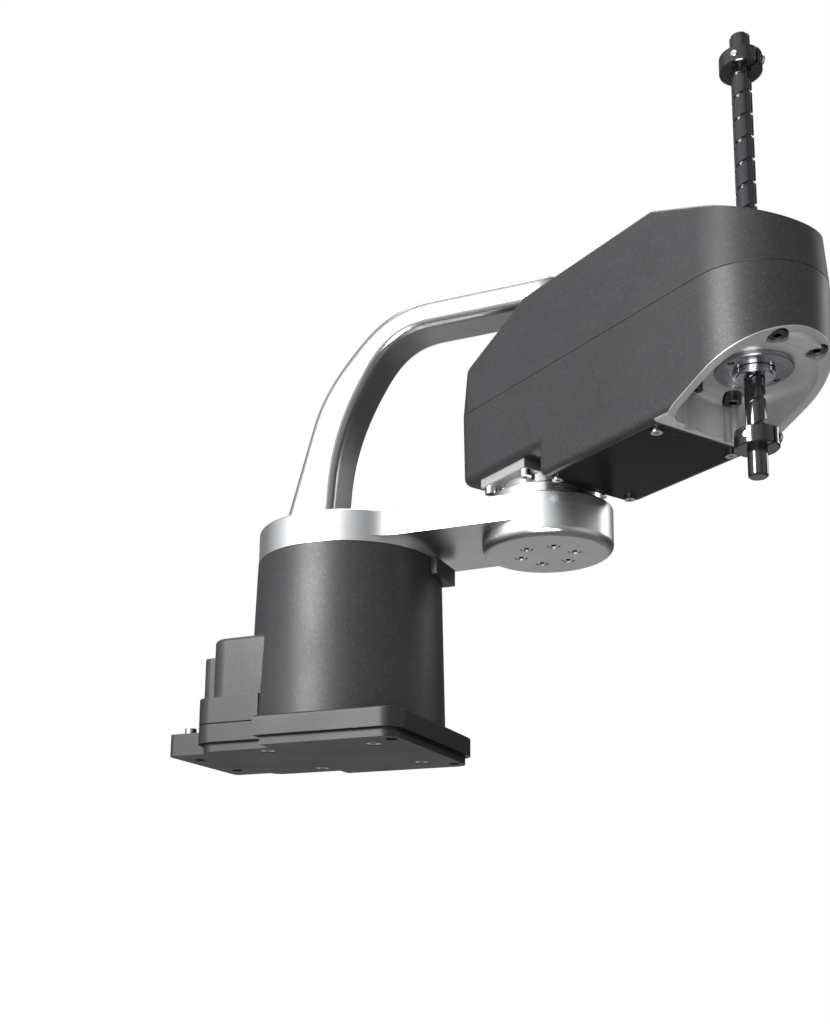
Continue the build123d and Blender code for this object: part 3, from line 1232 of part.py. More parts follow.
with BuildPart() as screw_pulley:
    add(pulley(spindle_axis.offset(PULLEY_3_Z), NUT_PULLEY_R, SCREW_NUT_R))
screw_pulley.part.label = "screw_pulley"
export_step(screw_pulley.part, "parts/screw_pulley.step")

with BuildPart() as j3_motor_pulley:
    add(motor_pulley(MOTOR_3_X, PULLEY_3_Z))
j3_motor_pulley.part.label = "j3_motor_pulley"
export_step(j3_motor_pulley.part, "parts/j3_motor_pulley.step")

with BuildPart() as j4_motor_pulley:
    add(motor_pulley(MOTOR_4_X, PULLEY_4_Z))
j4_motor_pulley.part.label = "j4_motor_pulley"
export_step(j4_motor_pulley.part, "parts/j4_motor_pulley.step")

with BuildPart() as j3_motor:
    add(motor(MOTOR_3_X))
j3_motor.part.label = "j3_motor"
export_step(j3_motor.part, "parts/j3_motor.step")

with BuildPart() as j4_motor:
    add(motor(MOTOR_4_X))
j4_motor.part.label = "j4_motor"
export_step(j4_motor.part, "parts/j4_motor.step")

with BuildPart() as j3_belt:
    add(belt(MOTOR_3_X, PULLEY_3_Z))
j3_belt.part.label = "j3_belt"
export_step(j3_belt.part, "parts/j3_belt.step")

with BuildPart() as j4_belt:
    add(belt(MOTOR_4_X, PULLEY_4_Z))
j4_belt.part.label = "j4_belt"
export_step(j4_belt.part, "parts/j4_belt.step")

with BuildPart() as j2_motor:
    with BuildSketch(outer.offset(FLOOR_TOP)):
        Circle(MOTOR_2_R)
    extrude(amount=MOTOR_2_LONG)
    fillet(j2_motor.edges().group_by(Axis.Z)[-1], EDGE_R)
j2_motor.part.label = "j2_motor"
export_step(j2_motor.part, "parts/j2_motor.step")

# Bed that carries both spindle motors, with stand-offs for the drive board
standoff_places = [(x, y) for x in STANDOFF_X for y in (-STANDOFF_Y, STANDOFF_Y)]
with BuildPart() as motor_bed:
    with BuildSketch(outer.offset(BED_Z)):
        with Locations(((BED_BACK + BED_FRONT) / 2, 0)):
            Rectangle(BED_FRONT - BED_BACK, 2 * BED_HALF)
        with Locations((MOTOR_3_X, 0), (MOTOR_4_X, 0)):
            Circle(MOTOR_PILOT_R, mode=Mode.SUBTRACT)
            with GridLocations(MOTOR_BOLTS, MOTOR_BOLTS, 2, 2):
                Circle(M2[0] + SCREW_CLEARANCE, mode=Mode.SUBTRACT)
        with Locations(*bed_places):
            Circle(M3[0] + SCREW_CLEARANCE, mode=Mode.SUBTRACT)
    extrude(amount=BED_THICK)
    with BuildSketch(outer.offset(BED_Z + BED_THICK)):
        with Locations(*standoff_places):
            Circle(STANDOFF_R)
    extrude(amount=BOARD_Z - BED_Z - BED_THICK)
    with BuildSketch(outer.offset(BOARD_Z)):
        with Locations(*standoff_places):
            Circle(M2[0])
    extrude(amount=-M3[2], mode=Mode.SUBTRACT)
motor_bed.part.label = "motor_bed"
export_step(motor_bed.part, "parts/motor_bed.step")

with BuildPart() as bed_screws:
    add(cap_screws(outer.offset(BED_Z + BED_THICK), bed_places, M3, BED_THICK + M3[2]))
bed_screws.part.label = "bed_screws"
export_step(bed_screws.part, "parts/bed_screws.step")

motor_bolt_places = [
    (x + dx, dy)
    for x in (MOTOR_3_X, MOTOR_4_X)
    for dx in (-MOTOR_BOLTS / 2, MOTOR_BOLTS / 2)
    for dy in (-MOTOR_BOLTS / 2, MOTOR_BOLTS / 2)
]
with BuildPart() as motor_bolts:
    bolt_long = BED_THICK + MOTOR_BOLT_DEEP
    add(cap_screws(outer.offset(BED_Z + BED_THICK), motor_bolt_places, M2, bolt_long))
motor_bolts.part.label = "motor_bolts"
export_step(motor_bolts.part, "parts/motor_bolts.step")

with BuildPart() as drive_board:
    with BuildSketch(outer.offset(BOARD_Z)):
        with Locations(((BOARD_BACK + BOARD_FRONT) / 2, 0)):
            RectangleRounded(BOARD_FRONT - BOARD_BACK, 2 * BOARD_HALF, EDGE_R)
        with Locations(*standoff_places):
            Circle(M2[0] + SCREW_CLEARANCE, mode=Mode.SUBTRACT)
    extrude(amount=BOARD_THICK)
drive_board.part.label = "drive_board"
export_step(drive_board.part, "parts/drive_board.step")

with BuildPart() as board_screws:
    board_top = outer.offset(BOARD_Z + BOARD_THICK)
    add(cap_screws(board_top, standoff_places, M2, BOARD_THICK + M3[2]))
board_screws.part.label = "board_screws"
export_step(board_screws.part, "parts/board_screws.step")

# Spindle: one shaft with a helical groove for the screw nut and straight grooves for the
# spline nut, which cross each other along its length. The groove is cut turn by turn,
# each turn reaching a little into the next.
with BuildPart() as spindle:
    with BuildSketch(spindle_axis.offset(GROOVE_FOOT)):
        Circle(SHAFT_R)
    extrude(amount=SHAFT_LONG - TOOL_END_LONG)
    with BuildSketch(spindle_axis.offset(SHAFT_BOTTOM)):
        Circle(TOOL_END_R)
    extrude(amount=TOOL_END_LONG)
    chamfer(spindle.edges().group_by(Axis.Z)[-1], SHAFT_EDGE)
    chamfer(spindle.edges().group_by(Axis.Z)[0], SHAFT_EDGE)
    with BuildSketch(spindle_axis.offset(GROOVE_FOOT)):
        with PolarLocations(SHAFT_R, SPLINE_GROOVES):
            Circle(SPLINE_GROOVE_R)
    extrude(amount=SHAFT_LONG - TOOL_END_LONG, mode=Mode.SUBTRACT)
    with BuildLine(spindle_axis.offset(GROOVE_FOOT + SCREW_START)) as turn_path:
        Helix(SCREW_LEAD, SCREW_LEAD * TURN_OVERLAP, SHAFT_R)
    with BuildSketch(Plane(origin=turn_path.line @ 0, z_dir=turn_path.line % 0)):
        Circle(SCREW_GROOVE_R)
    turn = sweep(path=turn_path.line, is_frenet=True, mode=Mode.PRIVATE)
    for count in range(SCREW_TURNS):
        add(turn.moved(Location((0, 0, count * SCREW_LEAD))), mode=Mode.SUBTRACT)
spindle.part.label = "spindle"
export_step(spindle.part, "parts/spindle.step")


def collar(level):
    """A split clamp collar on the shaft, with a slit and a bore for its cross screw."""
    place = spindle_axis.offset(level)
    with BuildPart() as ring:
        with BuildSketch(place):
            Circle(COLLAR_R)
            Circle(SHAFT_R, mode=Mode.SUBTRACT)
            with Locations((COLLAR_R / 2, 0)):
                Rectangle(COLLAR_R, COLLAR_SLIT, mode=Mode.SUBTRACT)
        extrude(amount=COLLAR_TALL)
        outer_rims = ring.edges().filter_by(GeomType.CIRCLE).group_by(SortBy.RADIUS)[-1]
        chamfer(outer_rims, BLOCK_EDGE)
        cross = Plane(
            origin=place.from_local_coords(Vector(COLLAR_SCREW_OUT, 0, COLLAR_TALL / 2)),
            x_dir=place.x_dir,
            z_dir=place.y_dir,
        )
        with BuildSketch(cross):
            Circle(BUTTON[0])
        extrude(amount=COLLAR_SEAT, both=True, mode=Mode.SUBTRACT)
        with BuildSketch(cross.offset(COLLAR_SEAT)):
            Circle(BUTTON[1] + SCREW_CLEARANCE)
        extrude(amount=COLLAR_R, mode=Mode.SUBTRACT)
    return ring.part


def collar_screw(level):
    """The cross screw of a collar, its head proud of the flat beside the slit."""
    place = spindle_axis.offset(level)
    seat = Vector(COLLAR_SCREW_OUT, COLLAR_SEAT, COLLAR_TALL / 2)
    seat_plane = Plane(
        origin=place.from_local_coords(seat), x_dir=place.x_dir, z_dir=place.y_dir
    )
    return cap_screws(seat_plane, [(0, 0)], BUTTON, 2 * COLLAR_SEAT).part


with BuildPart() as lower_collar:
    add(collar(COLLAR_LOW))
lower_collar.part.label = "lower_collar"
export_step(lower_collar.part, "parts/lower_collar.step")
with BuildPart() as upper_collar:
    add(collar(COLLAR_HIGH))
upper_collar.part.label = "upper_collar"
export_step(upper_collar.part, "parts/upper_collar.step")

with BuildPart() as lower_collar_screw:
    add(collar_screw(COLLAR_LOW))
lower_collar_screw.part.label = "lower_collar_screw"
export_step(lower_collar_screw.part, "parts/lower_collar_screw.step")
with BuildPart() as upper_collar_screw:
    add(collar_screw(COLLAR_HIGH))
upper_collar_screw.part.label = "upper_collar_screw"
export_step(upper_collar_screw.part, "parts/upper_collar_screw.step")
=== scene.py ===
import json
import logging
import math
from dataclasses import dataclass, field
from enum import Enum

import bpy
import numpy as np
from mathutils import Matrix, Vector


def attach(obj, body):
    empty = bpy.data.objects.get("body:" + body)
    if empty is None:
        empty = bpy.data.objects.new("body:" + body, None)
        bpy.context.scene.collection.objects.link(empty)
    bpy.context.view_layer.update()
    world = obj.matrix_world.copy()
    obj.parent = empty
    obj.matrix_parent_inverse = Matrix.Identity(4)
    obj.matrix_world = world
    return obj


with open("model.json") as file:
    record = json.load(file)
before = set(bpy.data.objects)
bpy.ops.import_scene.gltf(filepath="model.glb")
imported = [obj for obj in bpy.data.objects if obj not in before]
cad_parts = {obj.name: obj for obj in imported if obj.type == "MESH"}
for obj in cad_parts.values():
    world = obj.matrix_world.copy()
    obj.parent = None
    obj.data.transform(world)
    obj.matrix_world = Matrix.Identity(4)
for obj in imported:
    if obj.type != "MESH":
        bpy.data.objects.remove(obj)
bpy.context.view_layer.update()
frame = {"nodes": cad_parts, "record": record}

logging.basicConfig(level=logging.INFO, format="%(message)s")
log = logging.getLogger("scara")

MM = 0.001

Node = bpy.types.ShaderNode
Tree = bpy.types.ShaderNodeTree
Colour = tuple[float, float, float]

DUST_COLOUR: Colour = (0.3, 0.3, 0.3)
DUST_SHARE = 0.12
CASING_COLOUR: Colour = (0.022, 0.0228, 0.0245)
CASING_FLECK: Colour = (0.085, 0.088, 0.092)


class Body(Enum):
    """The rigid bodies that the new pieces ride on."""

    OUTER_ARM = "outer_arm"
    SHAFT = "shaft"


class Grain(Enum):
    """How the fine lines of a machined face run."""

    LEVEL = "level"
    TURNED = "turned"


@dataclass(frozen=True)
class RestPose:
    """Where the arms' axes stand at rest, in the part's frame, in metres and degrees."""

    inner_reach: float = 100 * MM
    outer_reach: float = 125 * MM
    outer_heading: float = -33.0

    @property
    def elbow(self) -> Vector:
        """The second axis at the height of the mounting face."""
        return Vector((self.inner_reach, 0.0, 0.0))

    @property
    def spindle(self) -> Vector:
        """The spindle's axis at the height of the mounting face."""
        turn = math.radians(self.outer_heading)
        return self.elbow + self.outer_reach * Vector((math.cos(turn), math.sin(turn), 0.0))


POSE = RestPose()


def group_socket(tree: Tree, name: str, way: str, kind: str, value: float | None = None) -> None:
    """Adds one socket to a node group.

    Args:
        tree: the group's node tree.
        name: the socket's name.
        way: INPUT or OUTPUT.
        kind: the socket's type name.
        value: the starting value of an input.
    """
    made = tree.interface.new_socket(name=name, in_out=way, socket_type=kind)
    if value is not None:
        made.default_value = value


def put(tree: Tree, kind: str, **values: object) -> Node:
    """Adds a node and sets its properties.

    Args:
        tree: the tree that gets the node.
        kind: the node's type name.
        values: properties by name.

    Returns:
        The new node.
    """
    node = tree.nodes.new(kind)
    for name, value in values.items():
        setattr(node, name, value)
    return node


def maths(tree: Tree, operation: str, first: object, second: object = None) -> object:
    """Adds a Math node whose inputs are sockets or numbers.

    Args:
        tree: the tree that gets the node.
        operation: the Math node's operation.
        first: a socket or a number.
        second: a socket or a number, or None for an operation of one value.

    Returns:
        The node's output socket.
    """
    node = put(tree, "ShaderNodeMath", operation=operation)
    for place, value in enumerate((first, second)):
        if value is None:
            continue
        if isinstance(value, (int, float)):
            node.inputs[place].default_value = value
        else:
            tree.links.new(value, node.inputs[place])
    return node.outputs[0]


def noise(tree: Tree, vector: object, scale: float, detail: float, rough: float = 0.5) -> object:
    """Adds a Noise Texture and returns its factor socket.

    Args:
        tree: the tree that gets the node.
        vector: the socket that carries the coordinates.
        scale: the pattern's scale.
        detail: the number of octaves.
        rough: the weight of the finer octaves.

    Returns:
        The factor socket.
    """
    node = put(tree, "ShaderNodeTexNoise")
    node.inputs["Scale"].default_value = scale
    node.inputs["Detail"].default_value = detail
    node.inputs["Roughness"].default_value = rough
    tree.links.new(vector, node.inputs["Vector"])
    return node.outputs["Fac"]


def ramp(tree: Tree, value: object, low: float, high: float, to_low: float,
         to_high: float) -> object:
    """Adds a Map Range node that clamps.

    Args:
        tree: the tree that gets the node.
        value: the socket to map.
        low: the value that gives to_low.
        high: the value that gives to_high.
        to_low: the result at low.
        to_high: the result at high.

    Returns:
        The result socket.
    """
    node = put(tree, "ShaderNodeMapRange", clamp=True)
    names = ("From Min", "From Max", "To Min", "To Max")
    for name, number in zip(names, (low, high, to_low, to_high)):
        node.inputs[name].default_value = number
    tree.links.new(value, node.inputs["Value"])
    return node.outputs["Result"]


class Effects:
    """The shader node groups that several finishes share, each made once.

    The scales are those of Noise and Voronoi textures on coordinates in metres.
    """

    peel_scale = 900.0
    fine_peel_scale = 2600.0
    fleck_scale = 1500.0
    patch_scale = 420.0
    shade_scale = 60.0
    line_scale = 1.0
    smudge_scale = 38.0
    dust_scale = 700.0

    def __init__(self) -> None:
        """Makes the groups."""
        self.coat = self._coat()
        self.lines = self._lines()
        self.handling = self._handling()

    def _coat(self) -> Tree:
        """Fine orange-peel texture of a powder coat, with flecks.

        Returns:
            A group with Vector and Grain in, and Height, Fleck and Shade out.
        """
        tree = bpy.data.node_groups.new("powder_coat", "ShaderNodeTree")
        group_socket(tree, "Vector", "INPUT", "NodeSocketVector")
        group_socket(tree, "Grain", "INPUT", "NodeSocketFloat", 1.0)
        for name in ("Height", "Fleck", "Shade"):
            group_socket(tree, name, "OUTPUT", "NodeSocketFloat")
        start, end = put(tree, "NodeGroupInput"), put(tree, "NodeGroupOutput")
        sized = put(tree, "ShaderNodeVectorMath", operation="SCALE")
        tree.links.new(start.outputs["Vector"], sized.inputs[0])
        tree.links.new(start.outputs["Grain"], sized.inputs["Scale"])
        place = sized.outputs[0]
        coarse = noise(tree, place, self.peel_scale, 3.0, 0.6)
        fine = noise(tree, place, self.fine_peel_scale, 2.0, 0.6)
        height = maths(tree, "ADD", coarse, maths(tree, "MULTIPLY", fine, 0.6))
        cells = put(tree, "ShaderNodeTexVoronoi", feature="F1")
        cells.inputs["Scale"].default_value = self.fleck_scale
        tree.links.new(place, cells.inputs["Vector"])
        fleck = ramp(tree, cells.outputs["Distance"], 0.16, 0.30, 1.0, 0.0)
        patches = noise(tree, place, self.patch_scale, 3.0, 0.65)
        fleck = maths(tree, "MULTIPLY", fleck, ramp(tree, patches, 0.36, 0.58, 0.0, 1.0))
        shade = noise(tree, place, self.shade_scale, 5.0, 0.6)
        tree.links.new(height, end.inputs["Height"])
        tree.links.new(fleck, end.inputs["Fleck"])
        tree.links.new(shade, end.inputs["Shade"])
        return tree

    def _lines(self) -> Tree:
        """Fine parallel tool lines: noise that is long one way and short across.

        Returns:
            A group with Vector in and Line out.
        """
        tree = bpy.data.node_groups.new("tool_lines", "ShaderNodeTree")
        group_socket(tree, "Vector", "INPUT", "NodeSocketVector")
        group_socket(tree, "Line", "OUTPUT", "NodeSocketFloat")
        start, end = put(tree, "NodeGroupInput"), put(tree, "NodeGroupOutput")
        fine = noise(tree, start.outputs["Vector"], self.line_scale, 4.0, 0.7)
        tree.links.new(fine, end.inputs["Line"])
        return tree

    def _handling(self) -> Tree:
        """Faint cloudy smudges and a little dust, as on a part that has been handled.

        Returns:
            A group with Vector in, and Smudge and Dust out.
        """
        tree = bpy.data.node_groups.new("handling", "ShaderNodeTree")
        group_socket(tree, "Vector", "INPUT", "NodeSocketVector")
        for name in ("Smudge", "Dust"):
            group_socket(tree, name, "OUTPUT", "NodeSocketFloat")
        start, end = put(tree, "NodeGroupInput"), put(tree, "NodeGroupOutput")
        cloud = noise(tree, start.outputs["Vector"], self.smudge_scale, 4.0, 0.55)
        specks = noise(tree, start.outputs["Vector"], self.dust_scale, 2.0, 0.5)
        tree.links.new(ramp(tree, cloud, 0.35, 0.65, 0.0, 1.0), end.inputs["Smudge"])
        tree.links.new(ramp(tree, specks, 0.70, 0.76, 0.0, 1.0), end.inputs["Dust"])
        return tree


@dataclass(frozen=True)
class Coat:
    """A textured powder coat."""

    name: str
    colour: Colour
    fleck_colour: Colour
    roughness: float = 0.44
    depth: float = 0.5
    grain: float = 1.0
    fleck_gloss: float = -0.16
    smudge: float = 0.05

    def make(self, effects: Effects) -> bpy.types.Material:
        """Builds the material.

        Args:
            effects: the shared node groups.

        Returns:
            The finished material.
        """
        material, tree, shader, place = blank(self.name)
        group = put(tree, "ShaderNodeGroup", node_tree=effects.coat)
        group.inputs["Grain"].default_value = self.grain
        tree.links.new(place, group.inputs["Vector"])
        touch = put(tree, "ShaderNodeGroup", node_tree=effects.handling)
        tree.links.new(place, touch.inputs["Vector"])
        darker, paler = scaled(self.colour, 0.80), scaled(self.colour, 1.20)
        shaded = mix_colour(tree, group.outputs["Shade"], darker, paler)
        flecked = mix_colour(tree, group.outputs["Fleck"], shaded, self.fleck_colour)
        tree.links.new(flecked, shader.inputs["Base Color"])
        rough = maths(tree, "MULTIPLY", group.outputs["Fleck"], self.fleck_gloss)
        smudged = maths(tree, "MULTIPLY", touch.outputs["Smudge"], self.smudge)
        rough = maths(tree, "ADD", rough, smudged)
        tree.links.new(maths(tree, "ADD", rough, self.roughness), shader.inputs["Roughness"])
        bump(tree, group.outputs["Height"], shader, self.depth, 0.06 * MM)
        return material


@dataclass(frozen=True)
class Metal:
    """A bare metal with tool lines."""

    name: str
    colour: Colour
    roughness: float
    grain: Grain = Grain.LEVEL
    centre: Vector = field(default_factory=lambda: Vector((0.0, 0.0, 0.0)))
    across: float = 2600.0
    along: float = 30.0
    lines: float = 0.10
    depth: float = 0.12
    metallic: float = 1.0
    smudge: float = 0.04

    def make(self, effects: Effects) -> bpy.types.Material:
        """Builds the material: its lines are level or turned round an axis.

        Args:
            effects: the shared node groups.

        Returns:
            The finished material.
        """
        material, tree, shader, place = blank(self.name)
        mapping = put(tree, "ShaderNodeMapping", vector_type="POINT")
        mapping.inputs["Location"].default_value = -self.centre
        tree.links.new(place, mapping.inputs["Vector"])
        stretched = put(tree, "ShaderNodeMapping", vector_type="POINT")
        if self.grain is Grain.TURNED:
            apart = put(tree, "ShaderNodeSeparateXYZ")
            tree.links.new(mapping.outputs["Vector"], apart.inputs[0])
            first = maths(tree, "MULTIPLY", apart.outputs[0], apart.outputs[0])
            second = maths(tree, "MULTIPLY", apart.outputs[1], apart.outputs[1])
            radius = maths(tree, "POWER", maths(tree, "ADD", first, second), 0.5)
            joined = put(tree, "ShaderNodeCombineXYZ")
            tree.links.new(radius, joined.inputs[0])
            tree.links.new(apart.outputs[2], joined.inputs[2])
            tree.links.new(joined.outputs[0], stretched.inputs["Vector"])
            stretched.inputs["Scale"].default_value = (self.across, 1.0, self.across)
        else:
            tree.links.new(mapping.outputs["Vector"], stretched.inputs["Vector"])
            stretched.inputs["Scale"].default_value = (self.along, self.along, self.across)
        group = put(tree, "ShaderNodeGroup", node_tree=effects.lines)
        tree.links.new(stretched.outputs["Vector"], group.inputs["Vector"])
        touch = put(tree, "ShaderNodeGroup", node_tree=effects.handling)
        tree.links.new(place, touch.inputs["Vector"])
        darker, paler = scaled(self.colour, 0.90), scaled(self.colour, 1.06)
        tone = mix_colour(tree, group.outputs["Line"], darker, paler)
        tree.links.new(tone, shader.inputs["Base Color"])
        rough = maths(tree, "MULTIPLY", group.outputs["Line"], 2 * self.lines)
        smudged = maths(tree, "MULTIPLY", touch.outputs["Smudge"], self.smudge)
        rough = maths(tree, "ADD", rough, smudged)
        rough = maths(tree, "ADD", rough, self.roughness - self.lines)
        tree.links.new(rough, shader.inputs["Roughness"])
        shader.inputs["Metallic"].default_value = self.metallic
        bump(tree, group.outputs["Line"], shader, self.depth, 0.02 * MM)
        return material


@dataclass(frozen=True)
class Gloss:
    """A smooth glossy or satin finish with faint handling marks."""

    name: str
    colour: Colour
    roughness: float
    metallic: float = 0.0
    coat: float = 0.0
    texture: float = 0.04
    depth: float = 0.03
    scale: float = 500.0
    specular: float = 0.5

    def make(self, effects: Effects) -> bpy.types.Material:
        """Builds the material.

        Args:
            effects: the shared node groups.

        Returns:
            The finished material.
        """
        material, tree, shader, place = blank(self.name)
        touch = put(tree, "ShaderNodeGroup", node_tree=effects.handling)
        tree.links.new(place, touch.inputs["Vector"])
        tone = mix_colour(tree, touch.outputs["Smudge"], self.colour, scaled(self.colour, 1.15))
        dust = maths(tree, "MULTIPLY", touch.outputs["Dust"], DUST_SHARE)
        dusty = mix_colour(tree, dust, tone, DUST_COLOUR)
        tree.links.new(dusty, shader.inputs["Base Color"])
        rough = maths(tree, "MULTIPLY", touch.outputs["Smudge"], self.texture)
        tree.links.new(maths(tree, "ADD", rough, self.roughness), shader.inputs["Roughness"])
        shader.inputs["Metallic"].default_value = self.metallic
        shader.inputs["Coat Weight"].default_value = self.coat
        shader.inputs["Specular IOR Level"].default_value = self.specular
        fine = noise(tree, place, self.scale, 3.0)
        bump(tree, fine, shader, self.depth, 0.03 * MM)
        return material


def scaled(colour: Colour, factor: float) -> Colour:
    """The colour times a factor."""
    return tuple(min(1.0, part * factor) for part in colour)


def blank(name: str) -> tuple[bpy.types.Material, Tree, Node, object]:
    """Makes a material with a Principled shader and Object coordinates.

    Args:
        name: the material's name.

    Returns:
        The material, its tree, its shader and the coordinates' socket.
    """
    material = bpy.data.materials.new(f"{name}_finish")
    material.use_nodes = True
    tree = material.node_tree
    tree.nodes.clear()
    shader = put(tree, "ShaderNodeBsdfPrincipled")
    output = put(tree, "ShaderNodeOutputMaterial")
    tree.links.new(shader.outputs[0], output.inputs[0])
    place = put(tree, "ShaderNodeTexCoord").outputs["Object"]
    return material, tree, shader, place


def mix_colour(tree: Tree, factor: object, first: object, second: object) -> object:
    """Mixes two colours, each a socket or a plain colour.

    Args:
        tree: the tree that gets the node.
        factor: the socket of the mixing factor.
        first: the colour at 0.
        second: the colour at 1.

    Returns:
        The colour socket.
    """
    node = put(tree, "ShaderNodeMix", data_type="RGBA")
    tree.links.new(factor, node.inputs[0])
    for place, value in ((6, first), (7, second)):
        if isinstance(value, tuple):
            node.inputs[place].default_value = (*value, 1.0)
        else:
            tree.links.new(value, node.inputs[place])
    return node.outputs[2]


def bump(tree: Tree, height: object, shader: Node, strength: float, distance: float) -> None:
    """Feeds a height to the shader's normal.

    Args:
        tree: the material's tree.
        height: the height socket.
        shader: the Principled shader.
        strength: the Bump node's strength.
        distance: the Bump node's distance in metres.
    """
    node = put(tree, "ShaderNodeBump")
    node.inputs["Strength"].default_value = strength
    node.inputs["Distance"].default_value = distance
    tree.links.new(height, node.inputs["Height"])
    tree.links.new(node.outputs[0], shader.inputs["Normal"])


@dataclass(frozen=True)
class NoseCasting:
    """The lower casing: powder coat outside, bare metal on the rim and in the nose's hollow.

    The bare part is found from the place alone, in the outer arm's own frame: on or under
    the nose's slanting rim, or inside the hollow's walls and under its ceiling.
    """

    coat: Coat
    metal: Metal
    rim_x: float = 105.0 * MM
    rim_z: float = 109.0 * MM
    rim_slope: float = 24.8
    hollow_back: float = 98.5 * MM
    hollow_half: float = 27.3 * MM
    hollow_top: float = 133.2 * MM
    rim_depth: float = 0.25 * MM

    def make(self, effects: Effects) -> bpy.types.Material:
        """Builds the material.

        Args:
            effects: the shared node groups.

        Returns:
            The finished material.
        """
        material = self.coat.make(effects)
        tree = material.node_tree
        shader = next(node for node in tree.nodes if node.type == "BSDF_PRINCIPLED")
        place = next(node for node in tree.nodes if node.type == "TEX_COORD").outputs["Object"]
        bare = self._mask(tree, place)
        touch = put(tree, "ShaderNodeGroup", node_tree=effects.handling)
        tree.links.new(place, touch.inputs["Vector"])
        dull = scaled(self.metal.colour, 0.8)
        cloud = mix_colour(tree, touch.outputs["Smudge"], dull, self.metal.colour)
        coated = shader.inputs["Base Color"].links[0].from_socket
        tree.links.new(mix_colour(tree, bare, coated, cloud), shader.inputs["Base Color"])
        rough = shader.inputs["Roughness"].links[0].from_socket
        smoother = maths(tree, "MULTIPLY", bare, self.metal.roughness - self.coat.roughness)
        tree.links.new(maths(tree, "ADD", rough, smoother), shader.inputs["Roughness"])
        metallic = maths(tree, "MULTIPLY", bare, self.metal.metallic)
        tree.links.new(metallic, shader.inputs["Metallic"])
        return material

    def _mask(self, tree: Tree, place: object) -> object:
        """The bare metal's mask, 1 where the coat was machined or masked off.

        Args:
            tree: the material's tree.
            place: the socket of the object coordinates.

        Returns:
            The mask's socket.
        """
        turned = put(tree, "ShaderNodeMapping", vector_type="TEXTURE")
        turned.inputs["Location"].default_value = POSE.elbow
        turned.inputs["Rotation"].default_value = (0.0, 0.0, math.radians(POSE.outer_heading))
        tree.links.new(place, turned.inputs["Vector"])
        apart = put(tree, "ShaderNodeSeparateXYZ")
        tree.links.new(turned.outputs["Vector"], apart.inputs[0])
        along, across, height = apart.outputs[0], apart.outputs[1], apart.outputs[2]
        past = maths(tree, "MAXIMUM", maths(tree, "SUBTRACT", along, self.rim_x), 0.0)
        plane = maths(tree, "MULTIPLY", past, math.tan(math.radians(self.rim_slope)))
        over = maths(tree, "SUBTRACT", height, maths(tree, "ADD", plane, self.rim_z))
        on_rim = maths(tree, "LESS_THAN", over, self.rim_depth)
        ahead = maths(tree, "MAXIMUM", maths(tree, "SUBTRACT", along, POSE.outer_reach), 0.0)
        sideways = maths(tree, "POWER", maths(tree, "ABSOLUTE", across), 2.0)
        squares = maths(tree, "ADD", maths(tree, "POWER", ahead, 2.0), sideways)
        inside = maths(tree, "LESS_THAN", squares, self.hollow_half ** 2)
        inside = maths(tree, "MULTIPLY", inside, maths(tree, "LESS_THAN", height, self.hollow_top))
        either = maths(tree, "MAXIMUM", on_rim, inside)
        return maths(tree, "MULTIPLY", either, maths(tree, "GREATER_THAN", along, self.hollow_back))


